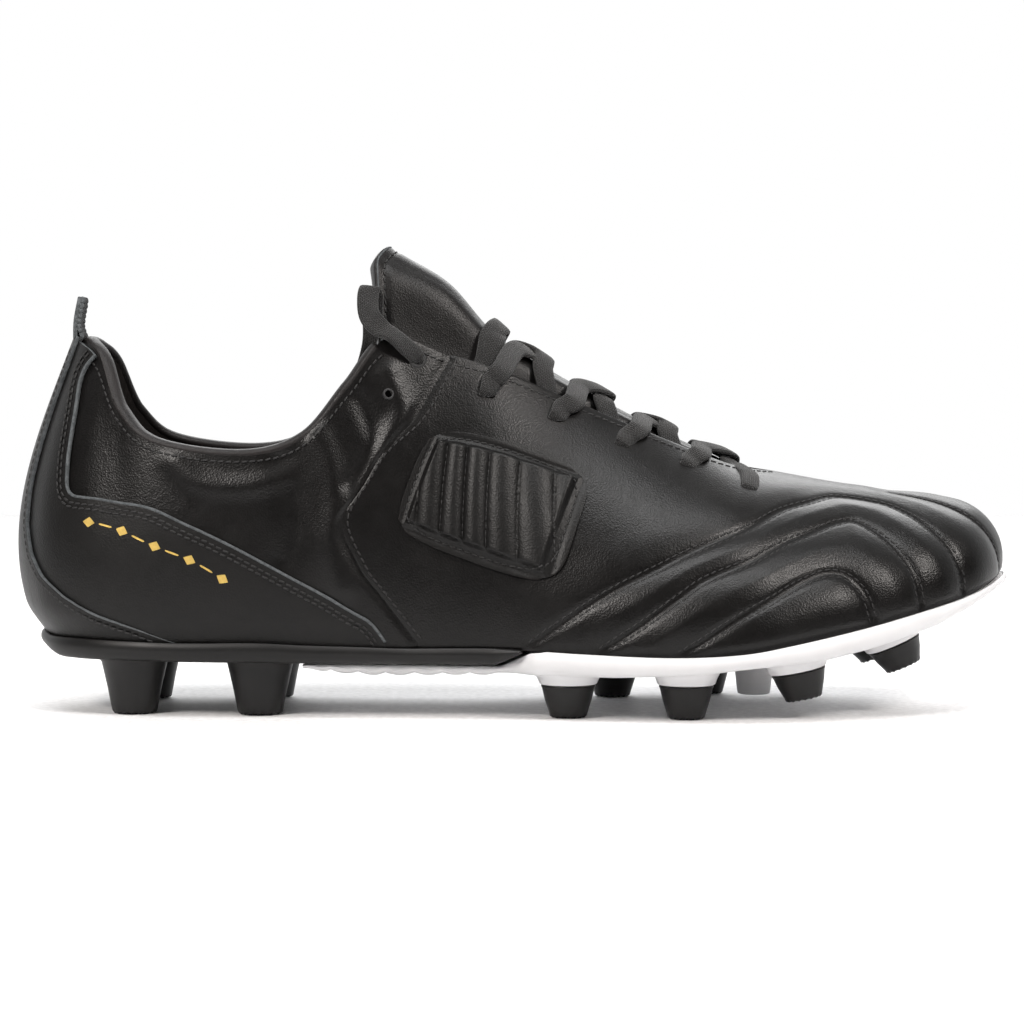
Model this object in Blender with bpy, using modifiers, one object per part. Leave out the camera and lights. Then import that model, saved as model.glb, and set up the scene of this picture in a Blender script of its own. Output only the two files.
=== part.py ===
"""Soccer boot (right shoe): layered leather upper, tongue, lace, two-piece outsole and studs.

Frame: +X towards the toe, +Y towards the inner (medial) side, +Z up, the studs stand on Z = 0.
Lengths in the tables are millimetres; mesh points are turned into metres when a mesh is made.
"""
import math

import bmesh
import bpy
from mathutils import Matrix, Vector

MM = 0.001
NAME = "soccer_cleat"
CENTRE_SHIFT = Vector((-0.05, 2.4, 0.0))   # puts the middle of the whole boot on the origin

# The last: one row for each station from heel to toe.
# foot x, foot z, lateral y, medial y | top x, top z, lateral y, medial y
STATIONS = [
    (-138.5, 22.0, 0.0, 0.0, -128.0, 110.0, 0.0, 0.0),
    (-134.0, 22.0, -16.0, 16.0, -126.0, 109.0, -7.0, 7.0),
    (-124.0, 22.0, -26.0, 26.0, -121.5, 104.5, -13.5, 13.5),
    (-110.0, 21.7, -32.0, 31.5, -115.5, 90.0, -22.0, 22.0),
    (-95.0, 21.4, -34.5, 34.0, -104.0, 80.3, -29.0, 28.5),
    (-75.0, 21.6, -36.0, 34.5, -78.0, 76.8, -33.0, 32.0),
    (-60.0, 21.0, -36.5, 34.0, -60.5, 82.0, -32.0, 31.0),
    (-45.0, 20.6, -37.0, 32.5, -47.5, 97.0, -28.5, 28.0),
    (-32.0, 20.2, -37.5, 31.0, -36.0, 110.2, -24.0, 24.0),
    (-18.0, 20.4, -39.0, 30.0, -20.0, 105.5, -20.5, 20.5),
    (-3.0, 20.4, -41.0, 30.5, -4.0, 100.8, -18.0, 18.0),
    (20.0, 19.3, -46.0, 36.0, 20.0, 90.3, -14.0, 15.0),
    (45.0, 18.6, -50.5, 43.0, 45.0, 79.3, -12.0, 14.0),
    (65.0, 19.5, -51.5, 46.5, 65.0, 71.5, -9.0, 11.0),
    (80.0, 22.0, -49.5, 46.0, 80.0, 68.8, 1.0, 1.0),
    (100.0, 26.2, -44.0, 41.0, 98.0, 65.6, 2.0, 2.0),
    (118.0, 30.6, -36.0, 37.0, 114.0, 63.8, 4.0, 4.0),
    (132.0, 34.2, -26.0, 30.5, 124.0, 62.6, 5.0, 5.0),
    (141.5, 37.6, -13.0, 21.0, 129.0, 61.5, 6.0, 6.0),
    (146.5, 39.5, 5.0, 5.0, 131.0, 61.0, 6.5, 6.5),
]
# How each rib bows: station, foot handle out and up, top handle out and down.
RIB_HANDLES = [
    (0, 15.0, 28.0, 11.5, 30.0),
    (3, 6.0, 24.0, 6.0, 24.0),
    (5, 3.5, 18.0, 3.0, 18.0),
    (8, 2.5, 28.0, 7.0, 30.0),
    (10, 2.5, 26.0, 12.0, 20.0),
    (12, 2.0, 22.0, 17.0, 11.0),
    (14, 2.0, 20.0, 26.0, 2.0),
    (16, 2.0, 17.0, 21.0, 1.2),
    (19, 2.5, 12.0, 9.0, 0.8),
]
LAST_STATION = len(STATIONS) - 1
LOOP = 2 * LAST_STATION           # stations once round: lateral out, medial back
CREST_START = 14                  # the throat ends here, ahead of it both sides meet on the crest
TOP_LINE_END = 8                  # the collar ends and the eyestay begins

# Layers of the upper, as distances from the outer skin
LEATHER = 1.2
FOAM_DEPTH = 2.0
FOAM = 0.8
LINING_DEPTH = 3.7
EYESTAY_LINING_DEPTH = 2.0
LINING = 0.7
OVERLAY_RISE = 1.9
OVERLAY = 1.0
BACKSTAY_RISE = 3.5
OVERLAY_FOOT = 0.035              # height share where the heel pieces start above the sole
PATCH_RISE = 2.0
PATCH = 1.4

# Lines on the lateral side, as (x, z)
SEAM_LINE = [(-27.0, 22.0), (-38.0, 36.0), (-49.0, 57.0), (-41.0, 70.6), (-29.0, 85.5), (-18.0, 103.5)]
OVERLAY_EDGE = [(-122.5, 104.0), (-126.0, 98.0), (-129.0, 83.0), (-129.5, 66.0), (-117.0, 62.5),
                (-93.0, 55.0), (-61.0, 39.5), (-36.0, 21.5)]
PATCH_CORNERS = [(-34.5, 53.5), (13.2, 37.2), (24.7, 69.9), (-23.0, 84.3)]
BACKSTAY_HALF_WIDTH = [(0.0, 3.6), (0.06, 3.1), (0.13, 2.0), (0.2, 1.3), (0.3, 0.65), (0.42, 0.36), (1.0, 0.28)]
EYELETS = [("t", -27.5, 104.0), ("a", -6.5, 96.0), ("b", 14.1, 88.1), ("c", 33.2, 79.8),
           ("d", 52.4, 73.0), ("e", 70.0, 66.5)]
SPARE_EYELET = (-35.8, 93.6)
EYELET_RADIUS = 2.5
LACE_RADIUS = 1.15
TONGUE_DEPTH = 6.3                # tongue face below the flap's skin, the lace runs in between
TONGUE_SKIN = 1.2
TONGUE_FOAM_DEPTH = 1.7
TONGUE_FOAM = 2.2
TONGUE_LINING_DEPTH = 4.5
TONGUE_LINING = 0.8

# Sole, as (x, z) down its length
HEEL_SHELL_UNDERSIDE = [(-140.0, 16.2), (-60.0, 15.7), (-5.0, 15.6), (3.4, 19.3)]
PLATE_TOP_STEP = [(-70.0, 15.2), (-4.0, 15.1), (5.5, 19.4), (9.0, 19.7)]
PLATE_UNDERSIDE = [(-62.0, 13.8), (-40.0, 12.4), (-3.0, 12.8), (30.0, 12.6), (53.0, 13.5), (65.0, 15.0),
                   (91.0, 17.6), (105.0, 20.7), (124.0, 26.4), (134.0, 31.0), (141.0, 34.6), (148.0, 37.5)]
SHELL_FRONT_X = 3.2
SHANK_REAR_X = -61.0

# Studs: name, x, y, bottom z, tip height, tip radius below and above, forward tilt in degrees
HEEL_STUDS = [("lateral_rear", -111.0, -21.0), ("medial_rear", -111.0, 21.0),
              ("lateral_front", -73.8, -24.0), ("medial_front", -73.8, 23.0)]
HEEL_STUD_RADII = (6.65, 9.8)
TIPS = [
    ("lateral_1", 16.4, -33.0, 0.0, 9.4, 0.0), ("lateral_2", 50.5, -37.0, 0.0, 9.6, 0.0),
    ("lateral_3", 85.0, -33.0, 5.2, 8.4, 12.0), ("lateral_4", 115.5, -20.0, 13.4, 7.4, 24.0),
    ("medial_1", 31.0, 25.0, 0.0, 9.2, 0.0), ("medial_2", 60.0, 33.0, 0.0, 10.6, 0.0),
    ("medial_3", 88.0, 28.0, 5.8, 8.0, 12.0), ("medial_4", 112.0, 19.0, 12.6, 7.2, 23.0),
]
TIP_RADII = (5.5, 8.0)
CENTRE_STUD = (73.0, 4.0, 2.8, 5.0)

# Ridge of the tongue, as (station, x, z)
TONGUE_RIDGE = [(13.3, 71.0, 68.5), (13.0, 62.0, 73.6), (12.0, 42.0, 83.0), (11.0, 18.0, 96.0),
                (10.0, -4.0, 110.0), (9.0, -19.0, 126.0), (8.0, -35.5, 137.2)]
TONGUE_HINGE = (72.0, 0.0, 64.0)

# Lateral end of the lace from the rear eyelet: over the collar's corner, then down inside the boot
LACE_TAIL = [(-41.0, -24.5, 113.5), (-45.5, -21.0, 117.5), (-47.5, -16.5, 117.0), (-50.0, -14.0, 108.0),
             (-51.5, -13.5, 95.0), (-52.5, -13.5, 82.0)]
LACE_BAR = (73.5, 0.5, 66.0)
AGLET_LENGTH = 14.0

COLOURS = {
    "black_leather": ((0.021, 0.019, 0.018), 0.4, 0.0),
    "black_overlay": ((0.024, 0.022, 0.021), 0.38, 0.0),
    "black_lining": ((0.03, 0.026, 0.024), 0.75, 0.0),
    "grey_foam": ((0.18, 0.18, 0.19), 0.9, 0.0),
    "fibre_board": ((0.36, 0.30, 0.22), 0.85, 0.0),
    "black_sole": ((0.038, 0.036, 0.035), 0.42, 0.0),
    "white_sole": ((0.86, 0.86, 0.87), 0.4, 0.0),
    "black_woven": ((0.02, 0.02, 0.021), 0.8, 0.0),
    "clear_black": ((0.015, 0.015, 0.016), 0.25, 0.0),
}


def clear_scene():
    for item in list(bpy.data.objects):
        bpy.data.objects.remove(item, do_unlink=True)


def new_collection(name):
    collection = bpy.data.collections.new(name)
    bpy.context.scene.collection.children.link(collection)
    return collection


def material(name):
    if name in bpy.data.materials:
        return bpy.data.materials[name]
    colour, roughness, metallic = COLOURS[name]
    made = bpy.data.materials.new(name)
    made.use_nodes = True
    shader = made.node_tree.nodes["Principled BSDF"]
    shader.inputs["Base Color"].default_value = (*colour, 1.0)
    shader.inputs["Roughness"].default_value = roughness
    shader.inputs["Metallic"].default_value = metallic
    return made


# ---- interpolation -------------------------------------------------------------------------

def catmull(p0, p1, p2, p3, t):
    """Point at t on the smooth curve from p1 to p2."""
    return 0.5 * ((2.0 * p1) + (p2 - p0) * t + (2.0 * p0 - 5.0 * p1 + 4.0 * p2 - p3) * t * t
                  + (3.0 * p1 - p0 - 3.0 * p2 + p3) * t * t * t)


def table_value(table, key, column=1):
    """Straight-line reading of a table whose rows rise in their first column."""
    if key <= table[0][0]:
        return table[0][column]
    for low, high in zip(table, table[1:]):
        if key <= high[0]:
            share = (key - low[0]) / (high[0] - low[0])
            return low[column] + (high[column] - low[column]) * share
    return table[-1][column]


# ---- the last ------------------------------------------------------------------------------

def build_ribs():
    """Four control points for each station round the loop: foot, two handles, top."""
    feet = []
    tops = []
    for index in range(LOOP):
        lateral = index <= LAST_STATION
        row = STATIONS[index if lateral else LOOP - index]
        feet.append(Vector((row[0], row[2] if lateral else row[3], row[1])))
        tops.append(Vector((row[4], row[6] if lateral else row[7], row[5])))
    ribs = []
    for index in range(LOOP):
        foot, top = feet[index], tops[index]
        along = feet[(index + 1) % LOOP] - feet[index - 1]
        out = Vector((along.y, -along.x, 0.0)).normalized()
        fan = Vector((foot.x - top.x, foot.y - top.y, 0.0)).normalized()
        station = min(index, LOOP - index)
        share = min(max((station - 10.0) / 4.0, 0.0), 1.0) * 0.6
        out_top = (out * (1.0 - share) + fan * share).normalized()
        bow = [table_value(RIB_HANDLES, station, column) for column in (1, 2, 3, 4)]
        up = Vector((0.0, 0.0, 1.0))
        ribs.append((foot, foot + out * bow[0] + up * bow[1], top + out_top * bow[2] - up * bow[3], top))
    return ribs


RIBS = build_ribs()


def rib_control(which, u):
    """Control point number `which` of the rib at station u, anywhere round the loop."""
    index = math.floor(u)
    p0, p1, p2, p3 = (RIBS[(index + step) % LOOP][which] for step in (-1, 0, 1, 2))
    station = index % LOOP
    if which == 3 and station == CREST_START:
        p0 = 2.0 * p1 - p2
    if which == 3 and station == LOOP - CREST_START - 1:
        p3 = 2.0 * p2 - p1
    return catmull(p0, p1, p2, p3, u - index)


def skin(u, v):
    """Point of the outer skin: u counts stations round the boot, v runs from sole to top edge."""
    a, b, c, d = (rib_control(which, u) for which in range(4))
    w = 1.0 - v
    return w * w * w * a + 3.0 * w * w * v * b + 3.0 * w * v * v * c + v * v * v * d


def raw_normal(u, v):
    step = 0.02
    low, high = max(v - step, 0.0), min(v + step, 1.0)
    across = skin(u + step, v) - skin(u - step, v)
    up = skin(u, high) - skin(u, low)
    return across.cross(up).normalized()


def normal(u, v):
    """Outward direction; on the crest both sides share one."""
    turned = u % LOOP
    if v > 0.999 and CREST_START <= turned <= LOOP - CREST_START:
        return (raw_normal(turned, 0.985) + raw_normal(LOOP - turned, 0.985)).normalized()
    return raw_normal(u, v)


def layer(u, v, rise):
    """Point at a distance from the skin, outwards when rise is positive."""
    return skin(u, v) + normal(u, v) * rise


def locate(x, z):
    """Station and height (u, v) of the lateral skin point seen at (x, z) from the side."""
    best = min(((skin(i * 0.5, j * 0.1) - Vector((x, skin(i * 0.5, j * 0.1).y, z))).length, i * 0.5, j * 0.1)
               for i in range(1, 37) for j in range(11))
    u, v = best[1], best[2]
    for _ in range(12):
        here = skin(u, v)
        du = (skin(u + 0.01, v) - here) / 0.01
        dv = (skin(u, v + 0.01) - here) / 0.01
        det = du.x * dv.z - dv.x * du.z
        if abs(det) < 1e-6:
            break
        gap_x, gap_z = x - here.x, z - here.z
        u = min(max(u + (gap_x * dv.z - dv.x * gap_z) / det * 0.8, 0.05), LAST_STATION)
        v = min(max(v + (du.x * gap_z - gap_x * du.z) / det * 0.8, 0.0), 1.0)
    return u, v


def station_at(x):
    """Station whose foot point has this x, on the rising side of the loop."""
    low, high = 0.0, float(LAST_STATION)
    for _ in range(40):
        middle = (low + high) / 2.0
        if rib_control(0, middle).x < x:
            low = middle
        else:
            high = middle
    return (low + high) / 2.0


# ---- making objects ------------------------------------------------------------------------

def add_object(name, mesh, slot, collection):
    item = bpy.data.objects.new(name, mesh)
    mesh.materials.append(material(slot))
    collection.objects.link(item)
    return item


def mesh_from(name, points, faces):
    """Mesh in metres from millimetre points, doubles merged and empty faces dropped."""
    bm = bmesh.new()
    verts = [bm.verts.new((Vector(p) + CENTRE_SHIFT) * MM) for p in points]
    for face in faces:
        bm.faces.new([verts[i] for i in face])
    bmesh.ops.remove_doubles(bm, verts=bm.verts, dist=0.00003)
    bmesh.ops.dissolve_degenerate(bm, edges=bm.edges, dist=0.000001)
    mesh = bpy.data.meshes.new(name)
    bm.to_mesh(mesh)
    bm.free()
    return mesh


def sheet(name, columns, slot, collection, thickness):
    """A panel: columns of points form an open surface, and Solidify gives it thickness inwards."""
    rows = len(columns[0])
    points = [p for column in columns for p in column]
    faces = []
    for i in range(len(columns) - 1):
        for j in range(rows - 1):
            a = i * rows + j
            faces.append((a, a + rows, a + rows + 1, a + 1))
    item = add_object(name, mesh_from(name, points, faces), slot, collection)
    shell = item.modifiers.new("thickness", "SOLIDIFY")
    shell.thickness = thickness * MM
    shell.offset = -1.0
    return item


def loft(name, sections, slot, collection):
    """Closed body through rings of equally many points, capped at both ends."""
    count = len(sections[0])
    points = [p for section in sections for p in section]
    faces = []
    for i in range(len(sections) - 1):
        for j in range(count):
            a, b = i * count + j, i * count + (j + 1) % count
            faces.append((a, b, b + count, a + count))
    faces.append(tuple(range(count - 1, -1, -1)))
    last = (len(sections) - 1) * count
    faces.append(tuple(range(last, last + count)))
    mesh = mesh_from(name, points, faces)
    bm = bmesh.new()
    bm.from_mesh(mesh)
    flat = [face for face in bm.faces if face.calc_area() < 1e-10]
    bmesh.ops.delete(bm, geom=flat, context="FACES_ONLY")
    bmesh.ops.triangulate(bm, faces=bm.faces)
    bmesh.ops.recalc_face_normals(bm, faces=bm.faces)
    if bm.calc_volume(signed=True) < 0.0:
        bmesh.ops.reverse_faces(bm, faces=bm.faces)
    bm.to_mesh(mesh)
    bm.free()
    return add_object(name, mesh, slot, collection)


def cone_into(bm, low, high, radius_low, radius_high, segments):
    """Truncated cone between two millimetre points, added to an open bmesh."""
    low, high = (Vector(low) + CENTRE_SHIFT) * MM, (Vector(high) + CENTRE_SHIFT) * MM
    turn = Vector((0.0, 0.0, 1.0)).rotation_difference(high - low).to_matrix().to_4x4()
    place = Matrix.Translation((low + high) / 2.0) @ turn
    bmesh.ops.create_cone(bm, cap_ends=True, segments=segments, radius1=radius_low * MM,
                          radius2=radius_high * MM, depth=(high - low).length, matrix=place)


def cones(name, rows, segments=20):
    """Mesh holding one truncated cone for each row (low, high, radius low, radius high)."""
    bm = bmesh.new()
    for low, high, radius_low, radius_high in rows:
        cone_into(bm, low, high, radius_low, radius_high, segments)
    mesh = bpy.data.meshes.new(name)
    bm.to_mesh(mesh)
    bm.free()
    return mesh


def cutter(name, mesh, collection):
    item = bpy.data.objects.new(name, mesh)
    collection.objects.link(item)
    item.hide_render = True
    item.display_type = "WIRE"
    return item


def boolean(item, operand, operation):
    step = item.modifiers.new(operation.lower(), "BOOLEAN")
    step.operation = operation
    step.object = operand
    step.solver = "EXACT"


def put_origin(item, point):
    """Move an object's origin to a millimetre point and leave its shape where it is."""
    spot = (Vector(point) + CENTRE_SHIFT) * MM
    item.data.transform(Matrix.Translation(-spot))
    item.location = spot


# ---- upper ---------------------------------------------------------------------------------

def spread(low, high, count):
    return [low + (high - low) * i / count for i in range(count + 1)]


def seam_station(v):
    """Station of the vamp's rear seam at height v."""
    return table_value(SEAM, v)


def vamp_columns(rise, rows, side_count=9, toe_count=6, back=0.0):
    """Columns once round the front, from the lateral seam over the toe to the medial seam."""
    columns = []
    shares = spread(0.0, 1.0, side_count)
    crest = spread(CREST_START, LAST_STATION, toe_count)
    for share in shares[:-1]:
        columns.append([(seam_station(v) + back) * (1.0 - share) + CREST_START * share for v in rows])
    for u in crest[:-1]:
        columns.append([u] * len(rows))
    half = list(columns)
    columns.append([float(LAST_STATION)] * len(rows))
    columns += [[LOOP - u for u in column] for column in reversed(half)]
    return [[layer(u, v, rise(u, v)) for u, v in zip(column, rows)] for column in columns]


def lining_rise(u, v):
    """The lining lies close behind the leather along the eyestay, deeper elsewhere."""
    station = min(u % LOOP, LOOP - u % LOOP)
    if station > CREST_START + 0.01:
        return -LINING_DEPTH
    edge = min(max((v - 0.72) / 0.12, 0.0), 1.0)
    ahead = min(max((CREST_START - station) / 0.8, 0.0), 1.0)
    behind = min(max((station - TOP_LINE_END + 1.0) / 1.0, 0.0), 1.0)
    return -LINING_DEPTH + (LINING_DEPTH - EYESTAY_LINING_DEPTH) * edge * ahead * behind


def make_upper(parts):
    rows = spread(0.0, 1.0, 7)
    coarse = spread(0.0, 1.0, 6)
    sheet("vamp", vamp_columns(lambda u, v: 0.0, rows), "black_leather", parts, LEATHER)
    sheet("vamp_lining", vamp_columns(lining_rise, coarse, 7, 5, 0.15), "black_lining", parts, LINING)

    seam_gap = 0.06
    for side, sign in (("lateral", 1.0), ("medial", -1.0)):
        columns = []
        for share in spread(0.0, 1.0, 12):
            columns.append([layer(sign * (0.06 + (seam_station(v) - seam_gap - 0.06) * share), v, 0.0)
                            for v in rows])
        if sign < 0:
            columns.reverse()
        sheet("rear_quarter_" + side, columns, "black_leather", parts, LEATHER)

    columns = []
    for share in spread(-1.0, 1.0, 22):
        reach = [share * (seam_station(v) + 0.05) for v in coarse]
        columns.append([layer(u, v, lining_rise(u, v)) for u, v in zip(reach, coarse)])
    sheet("quarter_lining", columns, "black_lining", parts, LINING)

    band = spread(0.05, 0.52, 4)
    columns = [[layer(u, v, -FOAM_DEPTH) for v in band] for u in spread(-4.6, 4.6, 18)]
    sheet("heel_counter", columns, "fibre_board", parts, FOAM)
    band = spread(0.58, 0.95, 4)
    columns = [[layer(u, v, -FOAM_DEPTH) for v in band] for u in spread(-6.4, 6.4, 24)]
    sheet("collar_foam", columns, "grey_foam", parts, FOAM)
    band = spread(0.05, 0.72, 5)
    columns = [[layer(u, v, -FOAM_DEPTH - 0.2) for v in band] for u in spread(16.4, LOOP - 16.4, 14)]
    sheet("toe_puff", columns, "fibre_board", parts, FOAM)
    band = spread(0.06, 0.68, 5)
    for side, low, high in (("lateral", 9.3, 16.2), ("medial", LOOP - 16.2, LOOP - 9.3)):
        columns = [[layer(u, v, -FOAM_DEPTH) for v in band] for u in spread(low, high, 12)]
        sheet("vamp_foam_" + side, columns, "grey_foam", parts, FOAM)


def overlay_height(u):
    """Upper edge of the heel overlay at station u."""
    return table_value(OVERLAY_TOP, u)


def make_heel(parts):
    stations = [0.25, 0.5, 0.8, 1.1, 1.3, 1.6, 2.0, 2.6, 3.2, 4.0, 4.8, 5.6, 6.4, 7.2, OVERLAY_TOP[-1][0] - 0.15]
    for side, sign in (("lateral", 1.0), ("medial", -1.0)):
        columns = []
        for u in stations:
            top = max(overlay_height(u), OVERLAY_FOOT + 0.04)
            columns.append([layer(sign * u, v, OVERLAY_RISE) for v in spread(OVERLAY_FOOT, top, 6)])
        if sign < 0:
            columns.reverse()
        sheet("heel_overlay_" + side, columns, "black_overlay", parts, OVERLAY)
    heights = [OVERLAY_FOOT, 0.08, 0.13, 0.19, 0.26, 0.34, 0.43, 0.54, 0.68, 0.84, 0.985]
    columns = [[layer(share * table_value(BACKSTAY_HALF_WIDTH, v), v, BACKSTAY_RISE) for v in heights]
               for share in spread(-1.0, 1.0, 12)]
    sheet("backstay", columns, "black_overlay", parts, OVERLAY)

    base = layer(0.0, 1.0, BACKSTAY_RISE - 0.5)
    top = base + Vector((1.6, 0.0, 11.0))
    half_width = 5.0
    columns = []
    for y in (-half_width, 0.0, half_width):
        foot = Vector((base.x - 0.35 + abs(y) * 0.12, y, base.z + 1.6))
        middle = Vector((base.x + 0.9 + abs(y) * 0.12, y, base.z + 7.0))
        columns.append([foot, middle, Vector((top.x + abs(y) * 0.12, y, top.z - abs(y) * 0.25))])
    columns.reverse()
    tab = sheet("pull_tab", columns, "black_overlay", parts, 1.6)
    put_origin(tab, (base.x, 0.0, base.z))


def patch_point(s, t):
    """(x, z) inside the side patch, s from rear to front and t from bottom to top."""
    corners = [Vector(corner) for corner in PATCH_CORNERS]
    low = corners[0].lerp(corners[1], s)
    high = corners[3].lerp(corners[2], s)
    return low.lerp(high, t)


def make_patches(parts):
    grid = []
    for s in spread(0.03, 0.97, 6):
        column = []
        for t in spread(0.04, 0.96, 5):
            x, z = patch_point(s, t)
            column.append(locate(x, z))
        grid.append(column)
    lateral = [[layer(u, v, PATCH_RISE) for u, v in column] for column in grid]
    medial = [[layer(LOOP - u, v, PATCH_RISE) for u, v in column] for column in reversed(grid)]
    sheet("side_patch_lateral", lateral, "black_overlay", parts, PATCH)
    sheet("side_patch_medial", medial, "black_overlay", parts, PATCH)


# ---- tongue --------------------------------------------------------------------------------

def tongue_ridge(u):
    """Ridge point (x, 0, z) of the tongue at station u."""
    rows = [(-row[0], row[1], row[2]) for row in TONGUE_RIDGE]
    return Vector((table_value(rows, -u, 1), 0.0, table_value(rows, -u, 2)))


def tongue_section(u):
    """Points across the tongue at station u, from the lateral edge to the medial edge."""
    sides = []
    for station in (u, LOOP - u):
        depth = -TONGUE_DEPTH
        top = layer(station, 1.0, depth)
        edge = top + Vector((0.0, -0.14 * top.y, 0.0))
        ridge = tongue_ridge(u)
        reach = ridge.z - skin(station, 1.0).z
        shoulder = Vector((edge.x * 0.35 + ridge.x * 0.65, edge.y * 0.66, ridge.z - 0.26 * reach - 1.0))
        brow = Vector((ridge.x, edge.y * 0.34, ridge.z - 0.06 * reach - 0.3))
        sides.append([layer(station, 0.7, depth), layer(station, 0.86, depth), edge, shoulder, brow, ridge])
    return sides[0] + list(reversed(sides[1][:-1]))


def tongue_columns(low, high, count=11):
    return [tongue_section(u) for u in spread(low, high, count)]


def inset(columns, depth):
    """The same grid of points, each moved inwards along the surface's own normal."""
    moved = []
    last_column, last_row = len(columns) - 1, len(columns[0]) - 1
    for i, column in enumerate(columns):
        before, after = columns[max(i - 1, 0)], columns[min(i + 1, last_column)]
        line = []
        for j, point in enumerate(column):
            across = after[j] - before[j]
            up = column[min(j + 1, last_row)] - column[max(j - 1, 0)]
            line.append(point - across.cross(up).normalized() * depth)
        moved.append(line)
    return moved


def make_tongue(parts):
    face = tongue_columns(8.0, 13.3)
    core = tongue_columns(8.15, 12.6)
    pieces = [("tongue", face, TONGUE_SKIN, "black_leather"),
              ("tongue_foam", [column[1:-1] for column in inset(core, TONGUE_FOAM_DEPTH)], TONGUE_FOAM, "grey_foam"),
              ("tongue_lining", inset(face, TONGUE_LINING_DEPTH), TONGUE_LINING, "black_lining")]
    for name, columns, thickness, slot in pieces:
        item = sheet(name, columns, slot, parts, thickness)
        put_origin(item, TONGUE_HINGE)


# ---- lace ----------------------------------------------------------------------------------

def eyelet_sites():
    """(u, v) of each eyelet from rear to front; the medial row uses the same numbers mirrored."""
    return {name: locate(x, z) for name, x, z in EYELETS}


def make_eyelet_holes(parts, cutters):
    sites = list(eyelet_sites().values()) + [locate(*SPARE_EYELET)]
    rows = []
    for u, v in sites:
        for station in (u, LOOP - u):
            rows.append((layer(station, v, -4.6), layer(station, v, 2.0), EYELET_RADIUS, EYELET_RADIUS))
    holes = cutter("eyelet_holes", cones("eyelet_holes", rows, 10), cutters)
    for name in ("vamp", "vamp_lining", "rear_quarter_lateral", "rear_quarter_medial", "quarter_lining"):
        boolean(parts.objects[name], holes, "DIFFERENCE")


def lace_half(start_side, height):
    """One half of the lace, from its first eyelet to its tucked-in end."""
    sites = eyelet_sites()
    side = start_side
    route = []

    def station(u, which):
        return u if which == 0 else LOOP - u

    def over_tongue(u, which, share, rise):
        section = tongue_section(u)
        index = {0.66: 3, 0.34: 4, 0.0: 5}[share]
        index = index if which == 0 else 10 - index
        return section[index] + Vector((0.0, 0.0, rise))

    u, v = sites["e"]
    route += [layer(station(u, side), v, -4.4), layer(station(u, side), v, 2.2)]
    names = ["e", "d", "c", "b", "a"]
    for near, far in zip(names, names[1:]):
        u0 = sites[near][0]
        u1, v1 = sites[far]
        middle = (u0 + u1) / 2.0
        if near != "e":
            route.append(over_tongue(u0 - 0.15, side, 0.66, 2.2))
        else:
            route.append(layer(station(u0, side), 1.0, 2.4))
        route.append(over_tongue(middle, side, 0.0, height))
        side = 1 - side
        route.append(over_tongue(u1 + 0.15, side, 0.66, 2.6))
        route.append(layer(station(u1, side), 1.0, 1.9))
        route.append(layer(station(u1, side), v1, 2.0))
        route.append(layer(station(u1, side), v1, -4.2))
        route.append(layer(station(u1 - 0.1, side), 1.0, -4.2))
    u0 = sites["a"][0]
    u1, v1 = sites["t"]
    route.append(over_tongue(u0 - 0.2, side, 0.66, 3.6))
    route.append(over_tongue(u0 - 0.35, side, 0.0, height + 2.2))
    side = 1 - side
    route.append(over_tongue(u0 - 0.5, side, 0.66, 3.6))
    route.append(layer(station(u0 - 0.6, side), 1.0, -4.2))
    route.append(layer(station(u1, side), v1, -4.2))
    route.append(layer(station(u1, side), v1, 2.2))
    route.append(layer(station(8.1, side), 1.0, 2.4) + Vector((0.0, 0.0, 1.0)))
    mirror = 1.0 if side == 0 else -1.0
    route += [Vector((x, y * mirror, z)) for x, y, z in LACE_TAIL]
    return route


def tube_mesh(name, points, radius):
    """Round tube along millimetre points, as a welded mesh."""
    curve = bpy.data.curves.new(name, "CURVE")
    curve.dimensions = "3D"
    curve.bevel_depth = radius * MM
    curve.bevel_resolution = 2
    curve.use_fill_caps = True
    spline = curve.splines.new("POLY")
    spline.points.add(len(points) - 1)
    for target, point in zip(spline.points, points):
        target.co = (*((point + CENTRE_SHIFT) * MM), 1.0)
    guide = bpy.data.objects.new(name + "_guide", curve)
    bpy.context.scene.collection.objects.link(guide)
    seen = guide.evaluated_get(bpy.context.evaluated_depsgraph_get())
    mesh = bpy.data.meshes.new_from_object(seen)
    bm = bmesh.new()
    bm.from_mesh(mesh)
    bmesh.ops.remove_doubles(bm, verts=bm.verts, dist=0.00001)
    bmesh.ops.recalc_face_normals(bm, faces=bm.faces)
    bm.to_mesh(mesh)
    bm.free()
    bpy.data.objects.remove(guide, do_unlink=True)
    return mesh


def make_lace(parts):
    first = lace_half(0, 3.1)
    second = lace_half(1, 6.2)
    bar = [Vector(LACE_BAR)]
    route = list(reversed(first)) + bar + second
    mesh = tube_mesh("lace", route, LACE_RADIUS)
    mesh.materials.clear()
    add_object("lace", mesh, "black_woven", parts)
    for name, end, before in (("aglet_medial", first[-1], first[-2]), ("aglet_lateral", second[-1], second[-2])):
        along = (end - before).normalized()
        rows = [(end + along * 0.35, end + along * AGLET_LENGTH, 1.5, 1.3)]
        add_object(name, cones(name, rows, 12), "clear_black", parts)


# ---- sole ----------------------------------------------------------------------------------

def outline_point(u, out, z):
    """Point of the sole's plan outline at station u, moved out sideways and set to height z."""
    foot = rib_control(0, u)
    along = rib_control(0, u + 0.02) - rib_control(0, u - 0.02)
    side = Vector((along.y, -along.x, 0.0)).normalized()
    return Vector((foot.x + side.x * out, foot.y + side.y * out, z))


def ladder(name, stations, profile, slot, collection):
    """Loft whose section at each station is a half profile on both sides, joined across."""
    sections = []
    for u in stations:
        half = profile(u)
        lateral = [outline_point(u, out, z) for out, z in half]
        medial = [outline_point(LOOP - u, out, z) for out, z in half]
        sections.append(lateral + list(reversed(medial)))
    return loft(name, sections, slot, collection)


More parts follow.
